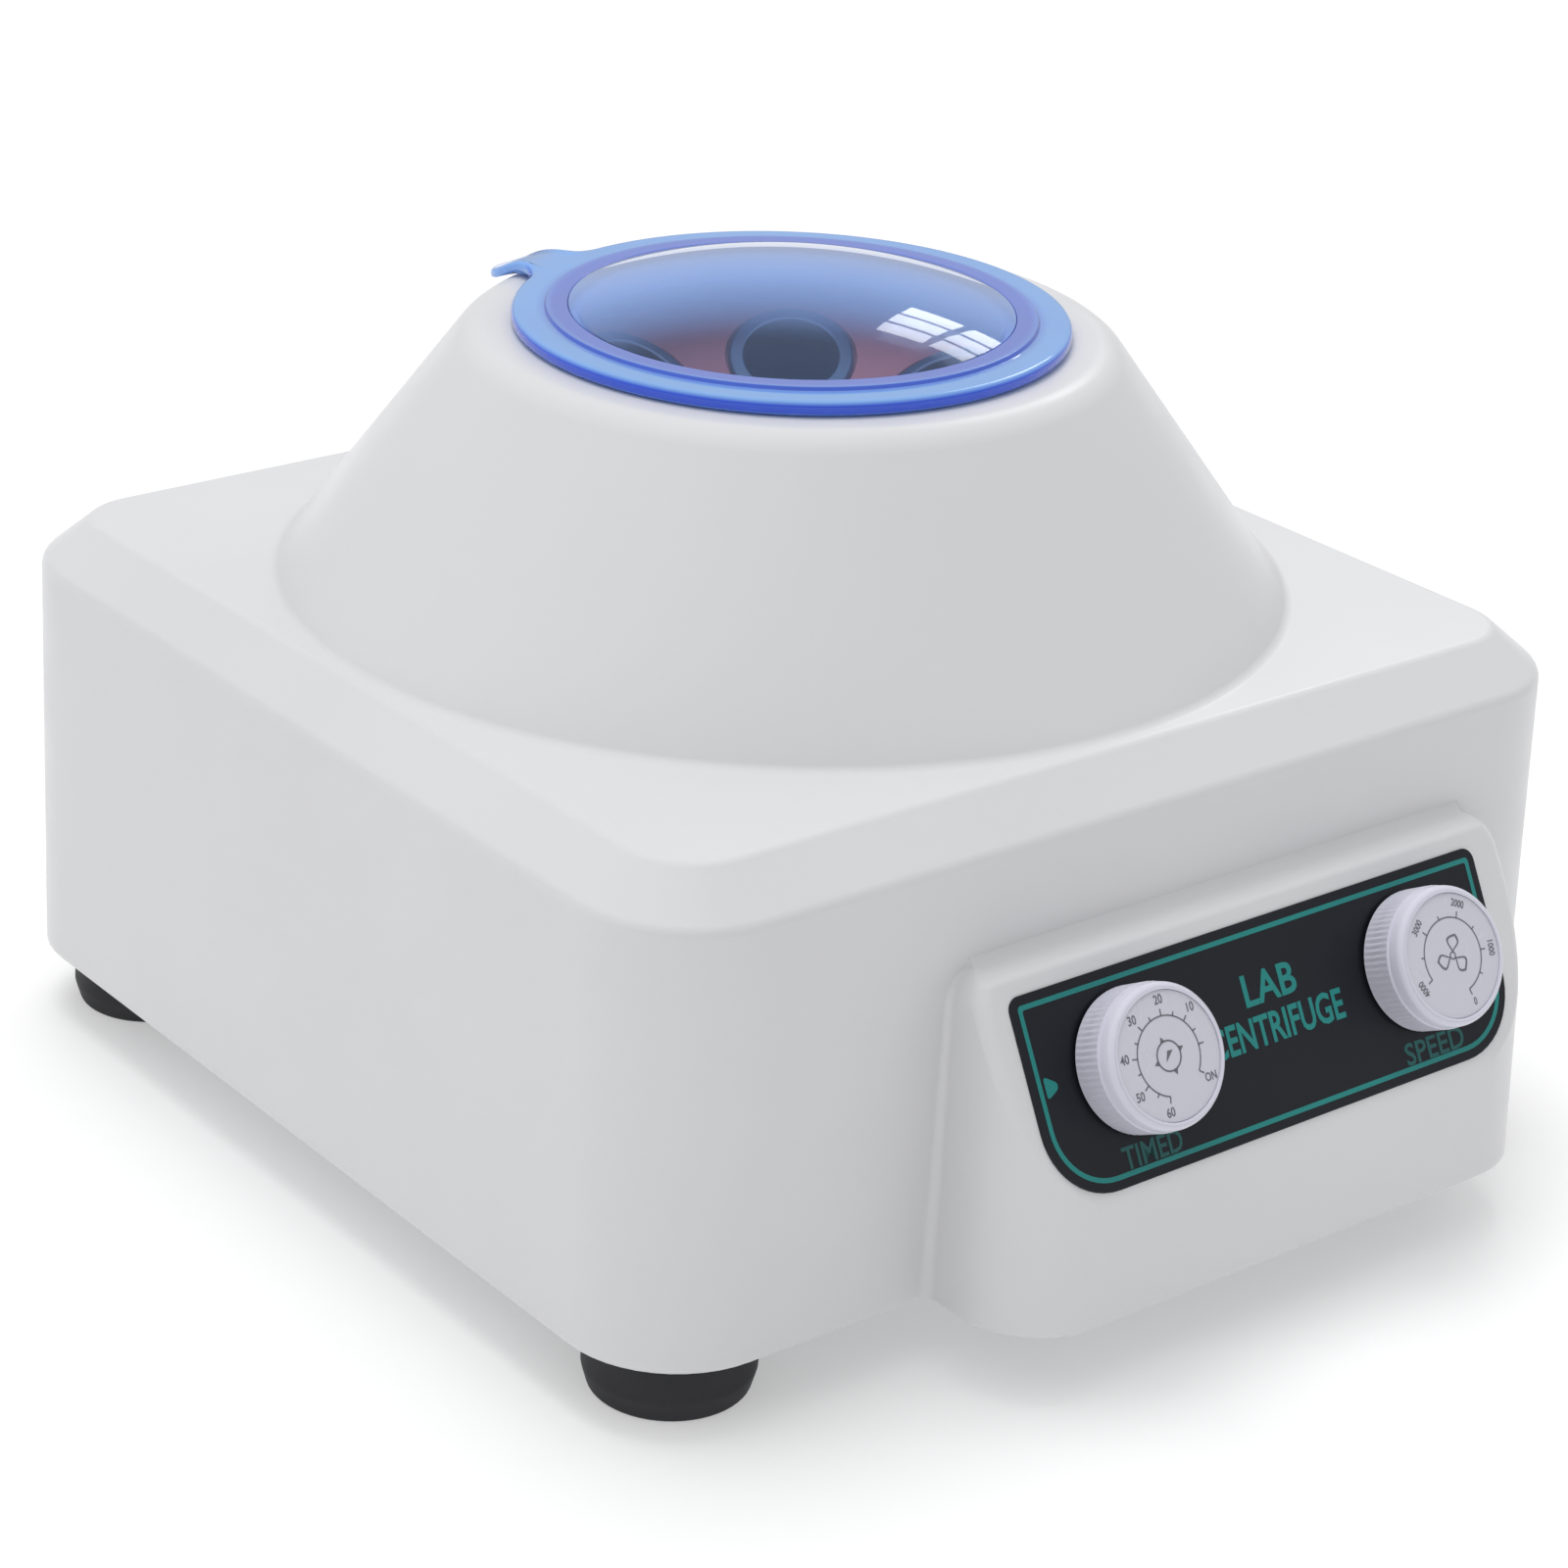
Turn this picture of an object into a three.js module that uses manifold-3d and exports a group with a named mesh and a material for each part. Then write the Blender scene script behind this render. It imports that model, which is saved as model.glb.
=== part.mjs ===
// Bench-top tube centrifuge. Millimetres, +Z up, controls face -Y, origin on the ground
// under the centre of the bounding box.
import * as THREE from 'three';
import { mergeVertices, toCreasedNormals } from 'three/addons/utils/BufferGeometryUtils.js';
import Module from 'manifold-3d';

const wasm = await Module();
wasm.setup();

// ---- driving dimensions -------------------------------------------------------------
const AXIS_Y = 16.6; // rotor axis, ahead of which the control box stands out
const FOOT_HEIGHT = 16; // ground to the bottom edge of the housing
const GAP = 0.3; // clearance kept between separate pieces
const WALL = 3; // moulded wall of the housing

const BODY_HALF = 130; // half width at the bottom edge
const BODY_DRAFT = 1.4; // lean of the walls up to the chamfer
const BODY_WALL_TOP = 97.1;
const BODY_TOP = 106.7;
const BODY_CORNER = 26;

const CONE_BASE = 114; // cone radius where it leaves the top face
const CONE_SLOPE = 0.7411; // radius lost per millimetre of height
const CONE_TOP = 163.75;
const MOUTH = 55; // radius of the chamber mouth
const COLLAR = 71; // outside radius of the collar around the mouth

const BOX_LEFT = -57.8; // control box at its bottom edge
const BOX_RIGHT = 96;
const BOX_FRONT = -159.7;
const BOX_CREASE = 30.5; // height where the front starts to slope
const BOX_CREASE_Y = -159.0;
const BOX_LEDGE = 73; // top of the slope
const BOX_LEDGE_Y = -136.5;
const PANEL_TILT = THREE.MathUtils.degToRad(62); // panel normal, measured from +Z

const LABEL = { left: -49, right: 84.5, bottom: -47.7, top: -3.7 };
const TIMER_X = -21.9;
const SPEED_X = 60.1;
const KNOB_Y = -23.4; // knob centres, down the slope from the ledge
const KNOB_RADIUS = 15.5;
const KNOB_FRONT = 12.7;
const BUSHING = 4.5;
const SPINDLE = 2.9;

const FLANGE = 62; // lid
const LID_SEAT = 164.05;
const LID_TOP = 167.3;
const WINDOW = 49.2;
const WINDOW_APEX = 176.4;
const TAB_ANGLE = THREE.MathUtils.degToRad(112);

const FOOT_AT = 105; // feet and their screws, from the axis in X and Y
const BOWL = 105.2; // outside radius of the chamber bowl
const BOWL_FLOOR = 47;
const BOWL_RIM = 100.8;
const BOWL_SCREW_AT = 78.5;

const TUBES = 6; // sleeves for 20 ml tubes
const FIRST_TUBE = THREE.MathUtils.degToRad(51);
const TUBE_PITCH = 39; // radius of the circle of sleeve mouths
const TUBE_MOUTH = 144.5;
const TUBE_TILT = THREE.MathUtils.degToRad(30);
const SLEEVE = 12; // outside radius
const SLEEVE_BORE = 11;
const SLEEVE_RIM = 14.5;
const SLEEVE_LENGTH = 95;
const DISH = 58; // outside radius of the rotor dish

const SHAFT = 5;
const MOTOR = 38;
const MOTOR_BOTTOM = 15.4;
const MOTOR_TOP = 84;
const DAMPER_AT = 44;

const ROUND = 40; // facets around the largest turned shapes

// ---- shape helpers ------------------------------------------------------------------
function lathe(profile, segments = 48) {
  const points = profile.map(([r, z]) => new THREE.Vector2(r, z));
  return new THREE.LatheGeometry(points, segments).rotateX(Math.PI / 2);
}

function ring(inner, outer, low, high, segments = 32) {
  return lathe([[inner, low], [outer, low], [outer, high], [inner, high], [inner, low]], segments);
}

function cylinder(radius, low, high, segments = 24) {
  const shape = new THREE.CylinderGeometry(radius, radius, high - low, segments);
  return shape.rotateX(Math.PI / 2).translate(0, 0, (low + high) / 2);
}

function block(x0, x1, y0, y1, z0, z1) {
  const shape = new THREE.BoxGeometry(x1 - x0, y1 - y0, z1 - z0);
  return shape.translate((x0 + x1) / 2, (y0 + y1) / 2, (z0 + z1) / 2);
}

// Outline of a rectangle with its own radius at each corner, anticlockwise from the
// lower left; radii are lower left, lower right, upper right, upper left.
function roundedOutline(x0, x1, y0, y1, radii, steps = 5) {
  const corners = [[x0, y0, 1, 1], [x1, y0, -1, 1], [x1, y1, -1, -1], [x0, y1, 1, -1]];
  const outline = [];
  corners.forEach(([x, y, inX, inY], corner) => {
    const r = radii[corner];
    for (let i = 0; i <= steps; i += 1) {
      const angle = Math.PI * (1 + corner / 2) + (i / steps) * (Math.PI / 2);
      const cx = x + inX * r;
      const cy = y + inY * r;
      outline.push(new THREE.Vector2(cx + r * Math.cos(angle), cy + r * Math.sin(angle)));
    }
  });
  return outline;
}

function prism(outline, low, high) {
  const settings = { depth: high - low, bevelEnabled: false };
  return new THREE.ExtrudeGeometry(new THREE.Shape(outline), settings).translate(0, 0, low);
}

// Closed skin over a stack of outlines with equal point counts, lowest first.
function loft(sections) {
  const count = sections[0].outline.length;
  const positions = sections.flatMap(({ outline, z }) => outline.flatMap((p) => [p.x, p.y, z]));
  const index = [];
  for (let s = 0; s + 1 < sections.length; s += 1) {
    for (let i = 0; i < count; i += 1) {
      const a = s * count + i;
      const b = s * count + ((i + 1) % count);
      index.push(a, b, b + count, a, b + count, a + count);
    }
  }
  const top = (sections.length - 1) * count;
  THREE.ShapeUtils.triangulateShape(sections[0].outline, []).forEach(([a, b, c]) => {
    index.push(c, b, a, a + top, b + top, c + top);
  });
  const geometry = new THREE.BufferGeometry();
  geometry.setAttribute('position', new THREE.Float32BufferAttribute(positions, 3));
  geometry.setIndex(index);
  return geometry;
}

function toSolid(geometry) {
  const bare = geometry.clone();
  bare.deleteAttribute('normal');
  bare.deleteAttribute('uv');
  const merged = mergeVertices(bare, 1e-4);
  const corners = merged.index.array;
  const triangles = [];
  for (let i = 0; i < corners.length; i += 3) {
    const [a, b, c] = corners.slice(i, i + 3);
    if (a !== b && b !== c && c !== a) triangles.push(a, b, c);
  }
  return new wasm.Manifold(new wasm.Mesh({
    numProp: 3,
    vertProperties: new Float32Array(merged.attributes.position.array),
    triVerts: new Uint32Array(triangles),
  }));
}

function toGeometry(solid) {
  const { vertProperties, triVerts } = solid.getMesh();
  const geometry = new THREE.BufferGeometry();
  geometry.setAttribute('position', new THREE.BufferAttribute(vertProperties, 3));
  geometry.setIndex(new THREE.BufferAttribute(triVerts, 1));
  return geometry;
}

function join(...shapes) {
  return toGeometry(shapes.map(toSolid).reduce((whole, next) => whole.add(next)));
}

function cut(shape, ...tools) {
  return toGeometry(tools.map(toSolid).reduce((rest, tool) => rest.subtract(tool), toSolid(shape)));
}

function common(...shapes) {
  return toGeometry(shapes.map(toSolid).reduce((whole, next) => whole.intersect(next)));
}

function addPart(parent, name, geometry, color, roughness, metalness = 0) {
  const material = new THREE.MeshStandardMaterial({ color, roughness, metalness });
  const mesh = new THREE.Mesh(toCreasedNormals(geometry, Math.PI / 6), material);
  mesh.name = name;
  parent.add(mesh);
  return mesh;
}

function atCorners(distance, make) {
  const corners = [[-1, -1], [1, -1], [1, 1], [-1, 1]];
  return corners.map(([sx, sy], i) => make(sx * distance, sy * distance, i + 1));
}

const WHITE = 0xe6e8ea;
const BLACK = 0x2a2c30;
const STEEL = 0xb9bcc0;
const ZINC = 0x9da1a6;
const COPPER = 0xb8703c;
const LID_BLUE = 0x4f8ee6;
const BAKELITE = 0xa9636a;
const KNOB_WHITE = 0xdcdce6;

const machine = new THREE.Group();
machine.position.y = AXIS_Y;

// Everything above the feet is drawn from the bottom edge of the housing.
const base = new THREE.Group();
base.position.z = FOOT_HEIGHT;
machine.add(base);

// ---- housing ------------------------------------------------------------------------
function bodySection(z, half, corner, inset) {
  const h = half - inset;
  const r = Math.max(corner - inset, 2);
  return { z, outline: roundedOutline(-h, h, -h, h, [r, r, r, r]) };
}

function bodySolid(inset) {
  const slope = BODY_DRAFT / BODY_WALL_TOP;
  const low = inset > 0 ? -1 : 0;
  const roof = BODY_TOP - inset;
  return loft([
    bodySection(low, BODY_HALF, BODY_CORNER, inset),
    bodySection(96 - 0.4 * inset, BODY_HALF - 96 * slope, BODY_CORNER, inset),
    bodySection(98.4 - 0.5 * inset, 127.4, 24.5, inset),
    bodySection(roof - 0.8, 118.3, 14, inset),
    bodySection(roof, 116.2, 12.5, inset),
  ]);
}

function controlBoxSolid(inset) {
  const low = inset > 0 ? -1 : 0;
  const back = -100;
  const slopeEnd = BOX_LEDGE_Y + inset / Math.sin(PANEL_TILT) - inset / Math.tan(PANEL_TILT);
  const side = [
    [back, low],
    [BOX_FRONT + inset, low],
    [BOX_CREASE_Y + inset, BOX_CREASE - 0.25 * inset],
    [slopeEnd, BOX_LEDGE - inset],
    [slopeEnd + 1.2, BOX_LEDGE - inset + 1],
    [-128, BOX_LEDGE - inset + 1.8],
    [back, BOX_LEDGE - inset + 1.8],
  ].map(([y, z]) => new THREE.Vector2(y, z)).reverse();
  const sideOn = prism(side, -90, 120).rotateX(Math.PI / 2).rotateZ(Math.PI / 2);
  const x0 = BOX_LEFT + inset;
  const x1 = BOX_RIGHT - inset;
  const draft = 2.3;
  const shoulder = 7 - inset / 2;
  const front = roundedOutline(x0 + draft, x1 - draft, -1, BOX_LEDGE - inset + 1.8,
    [0.1, 0.1, shoulder, shoulder], 3);
  front.splice(0, 8, new THREE.Vector2(x0, -1), new THREE.Vector2(x1, -1));
  const frontOn = prism(front, 80, 180).rotateX(Math.PI / 2);
  const r = 20 - inset;
  const plan = roundedOutline(x0, x1, BOX_FRONT + inset, back, [r, r, 0.1, 0.1], 5);
  return common(sideOn, frontOn, prism(plan, low, 90));
}

const coneRadius = (z) => CONE_BASE - (z - BODY_TOP) * CONE_SLOPE;
const coneInner = (z) => coneRadius(z) - WALL / 0.8034; // WALL measured square to the slope

function coneHood() {
  const foot = BODY_TOP + GAP;
  return lathe([
    [coneInner(foot), foot], [114.9, foot], [113.6, foot + 0.6], [coneRadius(109), 109],
    [coneRadius(160.2), 160.2], [72.3, 162.1], [COLLAR + GAP, 162.6], [COLLAR + GAP, 159.5],
    [coneInner(159.5), 159.5], [coneInner(foot), foot],
  ], ROUND);
}

function mouthCollar() {
  return lathe([
    [MOUTH, 157.5], [MOUTH + 3, 157.5], [MOUTH + 3, CONE_TOP - WALL], [COLLAR, CONE_TOP - WALL],
    [COLLAR, 162.8], [69.9, 163.3], [67, CONE_TOP], [MOUTH, CONE_TOP], [MOUTH, 157.5],
  ], ROUND);
}

const panelAt = new THREE.Matrix4().makeRotationX(PANEL_TILT).setPosition(0, BOX_LEDGE_Y, BOX_LEDGE);

function labelOutline(margin) {
  const { left, right, bottom, top } = LABEL;
  return roundedOutline(left - margin, right + margin, bottom - margin, top + margin,
    [16 + margin, 16 + margin, 3 + margin, 3 + margin], 4);
}

const bushingHoles = [TIMER_X, SPEED_X].map((x) => (
  cylinder(BUSHING + GAP, -6, 6).translate(x, KNOB_Y, 0)));
const INLET_X = 62;
const INLET_Z = 32;
const inletHole = block(INLET_X - 14.3, INLET_X + 14.3, 120, 140, INLET_Z - 10.8, INLET_Z + 10.8);

// The white housing is four shells: the square body, open under the cone and behind the
// controls, the cone over the chamber, the collar that the lid sits in, and the control box.
const bodyShell = join(
  cut(bodySolid(0), bodySolid(WALL), controlBoxSolid(WALL),
    cylinder(coneInner(BODY_TOP), 100, 110, ROUND)),
  ...atCorners(FOOT_AT, (x, y) => cylinder(7, 2.8, 104.6, 12).translate(x, y, 0)),
  ...atCorners(BOWL_SCREW_AT, (x, y) => cylinder(4.5, BOWL_RIM + GAP, 106, 8).translate(x, y, 0)),
);
addPart(base, 'upper_housing', cut(
  bodyShell,
  inletHole,
  ...atCorners(FOOT_AT, (x, y) => cylinder(2.3, 0, 17, 8).translate(x, y, 0)),
  ...atCorners(BOWL_SCREW_AT, (x, y) => cylinder(1.9, 98, 104.5, 6).translate(x, y, 0)),
), WHITE, 0.38);
addPart(base, 'cone_hood', coneHood(), WHITE, 0.38);
addPart(base, 'mouth_collar', mouthCollar(), WHITE, 0.38);
addPart(base, 'control_box', cut(
  controlBoxSolid(0),
  controlBoxSolid(WALL),
  bodySolid(-GAP),
  prism(labelOutline(GAP), -0.8, 4).applyMatrix4(panelAt),
  ...bushingHoles.map((hole) => hole.applyMatrix4(panelAt)),
), WHITE, 0.38);

// ---- base plate, feet and inner bracketry -------------------------------------------
const plateInset = WALL + 0.8;
const plateHalf = BODY_HALF - plateInset;
const plateCorner = BODY_CORNER - plateInset;
const boxCorner = 20 - plateInset;
const slots = [];
for (let i = 0; i < 8; i += 1) {
  slots.push(block(14, 34, -2.5, 2.5, -1, 4).rotateZ((i / 8) * 2 * Math.PI));
}
const boardPegs = [[-30, -146], [62, -146], [-30, -114], [62, -114]];
const basePlate = cut(
  join(
    prism(roundedOutline(-plateHalf, plateHalf, -plateHalf, plateHalf,
      [plateCorner, plateCorner, plateCorner, plateCorner]), 0, 2.5),
    prism(roundedOutline(BOX_LEFT + plateInset, BOX_RIGHT - plateInset, BOX_FRONT + plateInset,
      -100, [boxCorner, boxCorner, 1, 1]), 0, 2.5),
    ...boardPegs.map(([x, y]) => cylinder(3, 2, 10, 8).translate(x, y, 0)),
  ),
  ...atCorners(FOOT_AT, (x, y) => cylinder(2.3, -1, 4, 8).translate(x, y, 0)),
  ...slots,
);
addPart(base, 'base_plate', basePlate, ZINC, 0.45, 0.8);

const footProfile = [
  [5.5, -FOOT_HEIGHT], [16.7, -FOOT_HEIGHT], [17.9, -13.8], [18.2, -10], [17.2, -GAP],
  [2.4, -GAP], [2.4, -6], [5.5, -6], [5.5, -FOOT_HEIGHT],
];
const screwProfile = [[0, -9.2], [4.6, -9.2], [4.6, -6.3], [2, -6.3], [2, 15], [0, 15]];
atCorners(FOOT_AT, (x, y, i) => {
  addPart(base, `foot_${i}`, lathe(footProfile, 18), BLACK, 0.75).position.set(x, y, 0);
  addPart(base, `foot_screw_${i}`, lathe(screwProfile, 8), STEEL, 0.35, 1).position.set(x, y, 0);
});

const bowlProfile = [
  [9, 90], [44, 90], [44, BOWL_FLOOR], [BOWL, BOWL_FLOOR], [BOWL, BOWL_RIM - 2], [116, BOWL_RIM - 2],
  [116, BOWL_RIM], [BOWL - 2.2, BOWL_RIM], [BOWL - 2.2, BOWL_FLOOR + 2.2], [46.2, BOWL_FLOOR + 2.2],
  [46.2, 92.2], [9, 92.2], [9, 90],
];
const bowl = cut(
  lathe(bowlProfile, 32),
  ...atCorners(BOWL_SCREW_AT, (x, y) => cylinder(1.9, 95, 104, 6).translate(x, y, 0)),
);
addPart(base, 'chamber_bowl', bowl, 0xf2f3f4, 0.4);
const bowlScrewProfile = [[0, 96.1], [3.2, 96.1], [3.2, 98.5], [1.6, 98.5], [1.6, 103.8], [0, 103.8]];
atCorners(BOWL_SCREW_AT, (x, y, i) => {
  const screw = addPart(base, `bowl_screw_${i}`, lathe(bowlScrewProfile, 8), STEEL, 0.35, 1);
  screw.position.set(x, y, 0);
});

// ---- motor, fixed side --------------------------------------------------------------
const plate = cut(
  prism(roundedOutline(-54, 54, -54, 54, [10, 10, 10, 10], 2), 13.1, 15.1),
  cylinder(26, 12, 16, 20),
  ...atCorners(DAMPER_AT, (x, y) => cylinder(2.8, 12, 16, 8).translate(x, y, 0)),
);
addPart(base, 'motor_plate', plate, ZINC, 0.4, 0.9);
atCorners(DAMPER_AT, (x, y, i) => {
  const profile = [[0, 2.8], [8, 2.8], [8, 4.8], [6.2, 7.8], [8, 10.8], [8, 12.8], [2.5, 12.8],
    [2.5, 17.4], [0, 17.4]];
  addPart(base, `rubber_damper_${i}`, lathe(profile, 10), BLACK, 0.85).position.set(x, y, 0);
});
const can = MOTOR - 2.5;
addPart(base, 'motor_can', lathe([
  [can, MOTOR_BOTTOM], [MOTOR, MOTOR_BOTTOM], [MOTOR, MOTOR_TOP - 1.5], [MOTOR - 1.5, MOTOR_TOP],
  [11.3, MOTOR_TOP], [11.3, 76], [14, 76], [14, 81], [can, 81], [can, MOTOR_BOTTOM],
], 24), 0x8d9298, 0.35, 0.9);
addPart(base, 'motor_end_bell', lathe([
  [6, 15.7], [can - GAP, 15.7], [can - GAP, 18.7], [14, 18.7], [14, 25], [11.3, 25], [11.3, 17.2],
  [6, 17.2], [6, 15.7],
], 20), 0x8d9298, 0.4, 0.9);
addPart(base, 'motor_stator', ring(24.6, can - GAP, 38, 70, 20), 0x55585e, 0.6, 0.6);
addPart(base, 'motor_bearing_lower', ring(SHAFT + GAP, 11, 17.5, 24.5, 12), STEEL, 0.25, 1);
addPart(base, 'motor_bearing_upper', ring(SHAFT + GAP, 11, 76.5, 83.5, 12), STEEL, 0.25, 1);
[-1, 1].forEach((side, i) => {
  const brush = block(12.4, 24, -3, 3, 29, 34).rotateZ(side > 0 ? 0 : Math.PI);
  addPart(base, `motor_brush_${i + 1}`, brush, 0x1c1c1e, 0.7, 0.2);
});

// ---- controls behind and on the sloped panel ----------------------------------------
const panel = new THREE.Group();
panel.position.set(0, BOX_LEDGE_Y, BOX_LEDGE);
panel.rotation.x = PANEL_TILT;
base.add(panel);

const label = cut(prism(labelOutline(0), -0.5, 0.2),
  ...[TIMER_X, SPEED_X].map((x) => cylinder(BUSHING + GAP, -1, 1).translate(x, KNOB_Y, 0)));
addPart(panel, 'control_label', label, 0x282b31, 0.45);

const bushing = cylinder(BUSHING, -4, 3.2, 14);
const spindleHole = cylinder(SPINDLE + GAP, -16, 4, 12);
const timerBody = cut(join(block(-14, 14, -14, 14, -26, -WALL - GAP), bushing), spindleHole);
const speedBody = cut(join(cylinder(12, -19, -WALL - GAP, 16), bushing), spindleHole);
addPart(panel, 'timer_body', timerBody, 0x9c8f5e, 0.5, 0.6).position.set(TIMER_X, KNOB_Y, 0);
addPart(panel, 'speed_control_body', speedBody, 0x6f7378, 0.5, 0.7).position.set(SPEED_X, KNOB_Y, 0);

const nut = cut(cylinder(7, 0.5, 2.9, 6), cylinder(BUSHING + GAP, 0, 4, 12));
const knobProfile = [
  [0, 10.6], [SPINDLE + GAP, 10.6], [SPINDLE + GAP, 3.6], [5.5, 3.6], [5.5, 9.2], [13.6, 9.2],
  [13.6, 1.2], [KNOB_RADIUS, 1.2], [KNOB_RADIUS - 0.2, 10.2], [14.2, KNOB_FRONT],
  [13.4, KNOB_FRONT], [13.4, 11.6], [0, 11.6],
];
[['timer', TIMER_X], ['speed', SPEED_X]].forEach(([name, x]) => {
  addPart(panel, `${name}_nut`, nut, STEEL, 0.3, 1).position.set(x, KNOB_Y, 0);
  const turning = new THREE.Group();
  turning.position.set(x, KNOB_Y, 0);
  panel.add(turning);
  addPart(turning, `${name}_knob_cap`, lathe(knobProfile, 28), KNOB_WHITE, 0.35);
  addPart(turning, `${name}_dial`, cylinder(13.1, 11.9, 12.3, 28), 0xe6e6ee, 0.3);
  addPart(turning, `${name}_spindle`, cylinder(SPINDLE, -15, 10.3, 12), STEEL, 0.3, 1);
});

// ---- electrics ----------------------------------------------------------------------
addPart(base, 'speed_board', block(-36, 68, -150, -110, 10.3, 11.9), 0x2f6b45, 0.5);

const inlet = cut(
  join(
    prism(roundedOutline(-17.5, 17.5, -14, 14, [4, 4, 4, 4], 3), 0.05, 2),
    prism(roundedOutline(-14, 14, -10.5, 10.5, [2, 2, 6, 6], 3), -22, 1),
  ),
  prism(roundedOutline(-12, 12, -8, 8, [1.5, 1.5, 5, 5], 3), -15, 3),
);
const inletGroup = new THREE.Group();
inletGroup.position.set(INLET_X, BODY_HALF, INLET_Z);
inletGroup.rotation.set(-Math.PI / 2, Math.PI, 0, 'YXZ');
base.add(inletGroup);
addPart(inletGroup, 'power_inlet', inlet, BLACK, 0.5);
[['live', -7, -2], ['earth', 0, 2], ['neutral', 7, -2]].forEach(([name, x, y]) => {
  const pin = block(x - 1, x + 1, y - 2, y + 2, -14.7, -4.8);
  addPart(inletGroup, `inlet_pin_${name}`, pin, STEEL, 0.25, 1);
});

// ---- rotor --------------------------------------------------------------------------
const rotor = new THREE.Group();
base.add(rotor);

addPart(rotor, 'drive_shaft', lathe([
  [0, 17.6], [SHAFT, 17.6], [SHAFT, 129], [4, 129], [4, 140], [3.4, 140.6], [0, 140.6],
], 16), STEEL, 0.25, 1);

function toothedOutline(teeth, outer, root) {
  const outline = [];
  for (let i = 0; i < teeth; i += 1) {
    [[0.06, root], [0.1, outer], [0.9, outer], [0.94, root]].forEach(([part, r]) => {
      const angle = ((i + part) / teeth) * 2 * Math.PI;
      outline.push(new THREE.Vector2(r * Math.cos(angle), r * Math.sin(angle)));
    });
  }
  return outline;
}
const bore = cylinder(SHAFT + GAP, 0, 100, 12);
addPart(rotor, 'motor_armature', cut(prism(toothedOutline(8, 23.8, 16), 39, 69), bore),
  0x6b6e73, 0.5, 0.7);
addPart(rotor, 'motor_commutator', cut(prism(toothedOutline(10, 12, 10.8), 27, 36), bore),
  COPPER, 0.35, 0.9);

const funnel = (r) => 143 + (r - 40) * Math.tan(TUBE_TILT);
const dishBlank = lathe([
  [SHAFT + GAP, 112], [13, 112], [15, funnel(15) - 6.9], [55.5, funnel(55.5) - 6.9],
  [DISH, funnel(DISH) - 5.8], [DISH, funnel(DISH) - 1], [DISH - 1.2, funnel(DISH - 1.2)],
  [15, funnel(15)], [11, 129.6], [SHAFT + GAP, 129.6], [SHAFT + GAP, 112],
], 36);

const sleeveFrames = [];
for (let i = 0; i < TUBES; i += 1) {
  const angle = FIRST_TUBE + (i / TUBES) * 2 * Math.PI;
  const frame = new THREE.Matrix4().makeRotationZ(angle);
  frame.multiply(new THREE.Matrix4().makeTranslation(TUBE_PITCH, 0, TUBE_MOUTH));
  frame.multiply(new THREE.Matrix4().makeRotationY(-TUBE_TILT));
  sleeveFrames.push(frame);
}
const seatProfile = [
  [0, -20], [SLEEVE + GAP, -20], [SLEEVE + GAP, -2.8], [SLEEVE_RIM + 0.8, -2.8],
  [SLEEVE_RIM + 0.8, 10], [0, 10],
];
const dish = cut(
  dishBlank,
  ...sleeveFrames.map((frame) => lathe(seatProfile, 16).applyMatrix4(frame)),
);
addPart(rotor, 'rotor_dish', dish, BAKELITE, 0.45);

const sleeveProfile = [
  [0, -SLEEVE_LENGTH], [8, -93.2], [SLEEVE, -88], [SLEEVE, -2.5], [SLEEVE_RIM, -2.5],
  [SLEEVE_RIM, 0], [SLEEVE_BORE, 0], [SLEEVE_BORE, -87.5], [7, -92.2], [0, -93.4],
];
sleeveFrames.forEach((frame, i) => {
  const sleeve = addPart(rotor, `tube_sleeve_${i + 1}`, lathe(sleeveProfile, 16), 0x8fa3b8, 0.4, 0.5);
  sleeve.applyMatrix4(frame);
});

addPart(rotor, 'rotor_nut', cut(cylinder(8, 129.9, 136.5, 6), cylinder(4 + GAP, 129, 138, 10)),
  STEEL, 0.3, 1);

// ---- lid ----------------------------------------------------------------------------
const lid = new THREE.Group();
base.add(lid);

const flange = lathe([
  [46.5, 162.4], [54.4, 162.4], [54.4, LID_SEAT], [61.2, LID_SEAT], [FLANGE, LID_SEAT + 0.8],
  [FLANGE, 166.5], [61.2, LID_TOP], [54.8, LID_TOP], [54.2, 168], [WINDOW + GAP, 168],
  [WINDOW + GAP, 165], [46.5, 165], [46.5, 162.4],
], ROUND);

// Finger tab: a stepped-down strip, cut to a flared plan with a round end.
const tabLine = new THREE.CatmullRomCurve3([
  [55, 165.7], [62, 165.8], [67, 166.2], [70.5, 165.3], [74, 163.6], [77, 162.8], [80, 162.5],
].map(([r, z]) => new THREE.Vector3(r, z, 0))).getPoints(9);
const halfTab = 1.2;
const above = tabLine.map((p) => new THREE.Vector2(p.x, p.y + halfTab));
const below = tabLine.map((p) => new THREE.Vector2(p.x, p.y - halfTab)).reverse();
const tabSide = prism([...above, ...below].reverse(), -16, 16).rotateX(Math.PI / 2);
const tabPlan = new THREE.Shape();
tabPlan.moveTo(55, -15);
tabPlan.quadraticCurveTo(62, -7.6, 70, -6.8);
tabPlan.absarc(71.6, 0, 6.8, -Math.PI / 2, Math.PI / 2);
tabPlan.quadraticCurveTo(62, 7.6, 55, 15);
const tab = common(tabSide, prism(tabPlan.getPoints(5), 150, 180)).rotateZ(TAB_ANGLE);
addPart(lid, 'lid_flange', join(flange, tab), LID_BLUE, 0.2);

// The centring ring under the flange, which drops into the chamber mouth.
addPart(lid, 'lid_spigot', ring(50, MOUTH - 0.6, 158, 162.4 - GAP, ROUND), LID_BLUE, 0.2);

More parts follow.
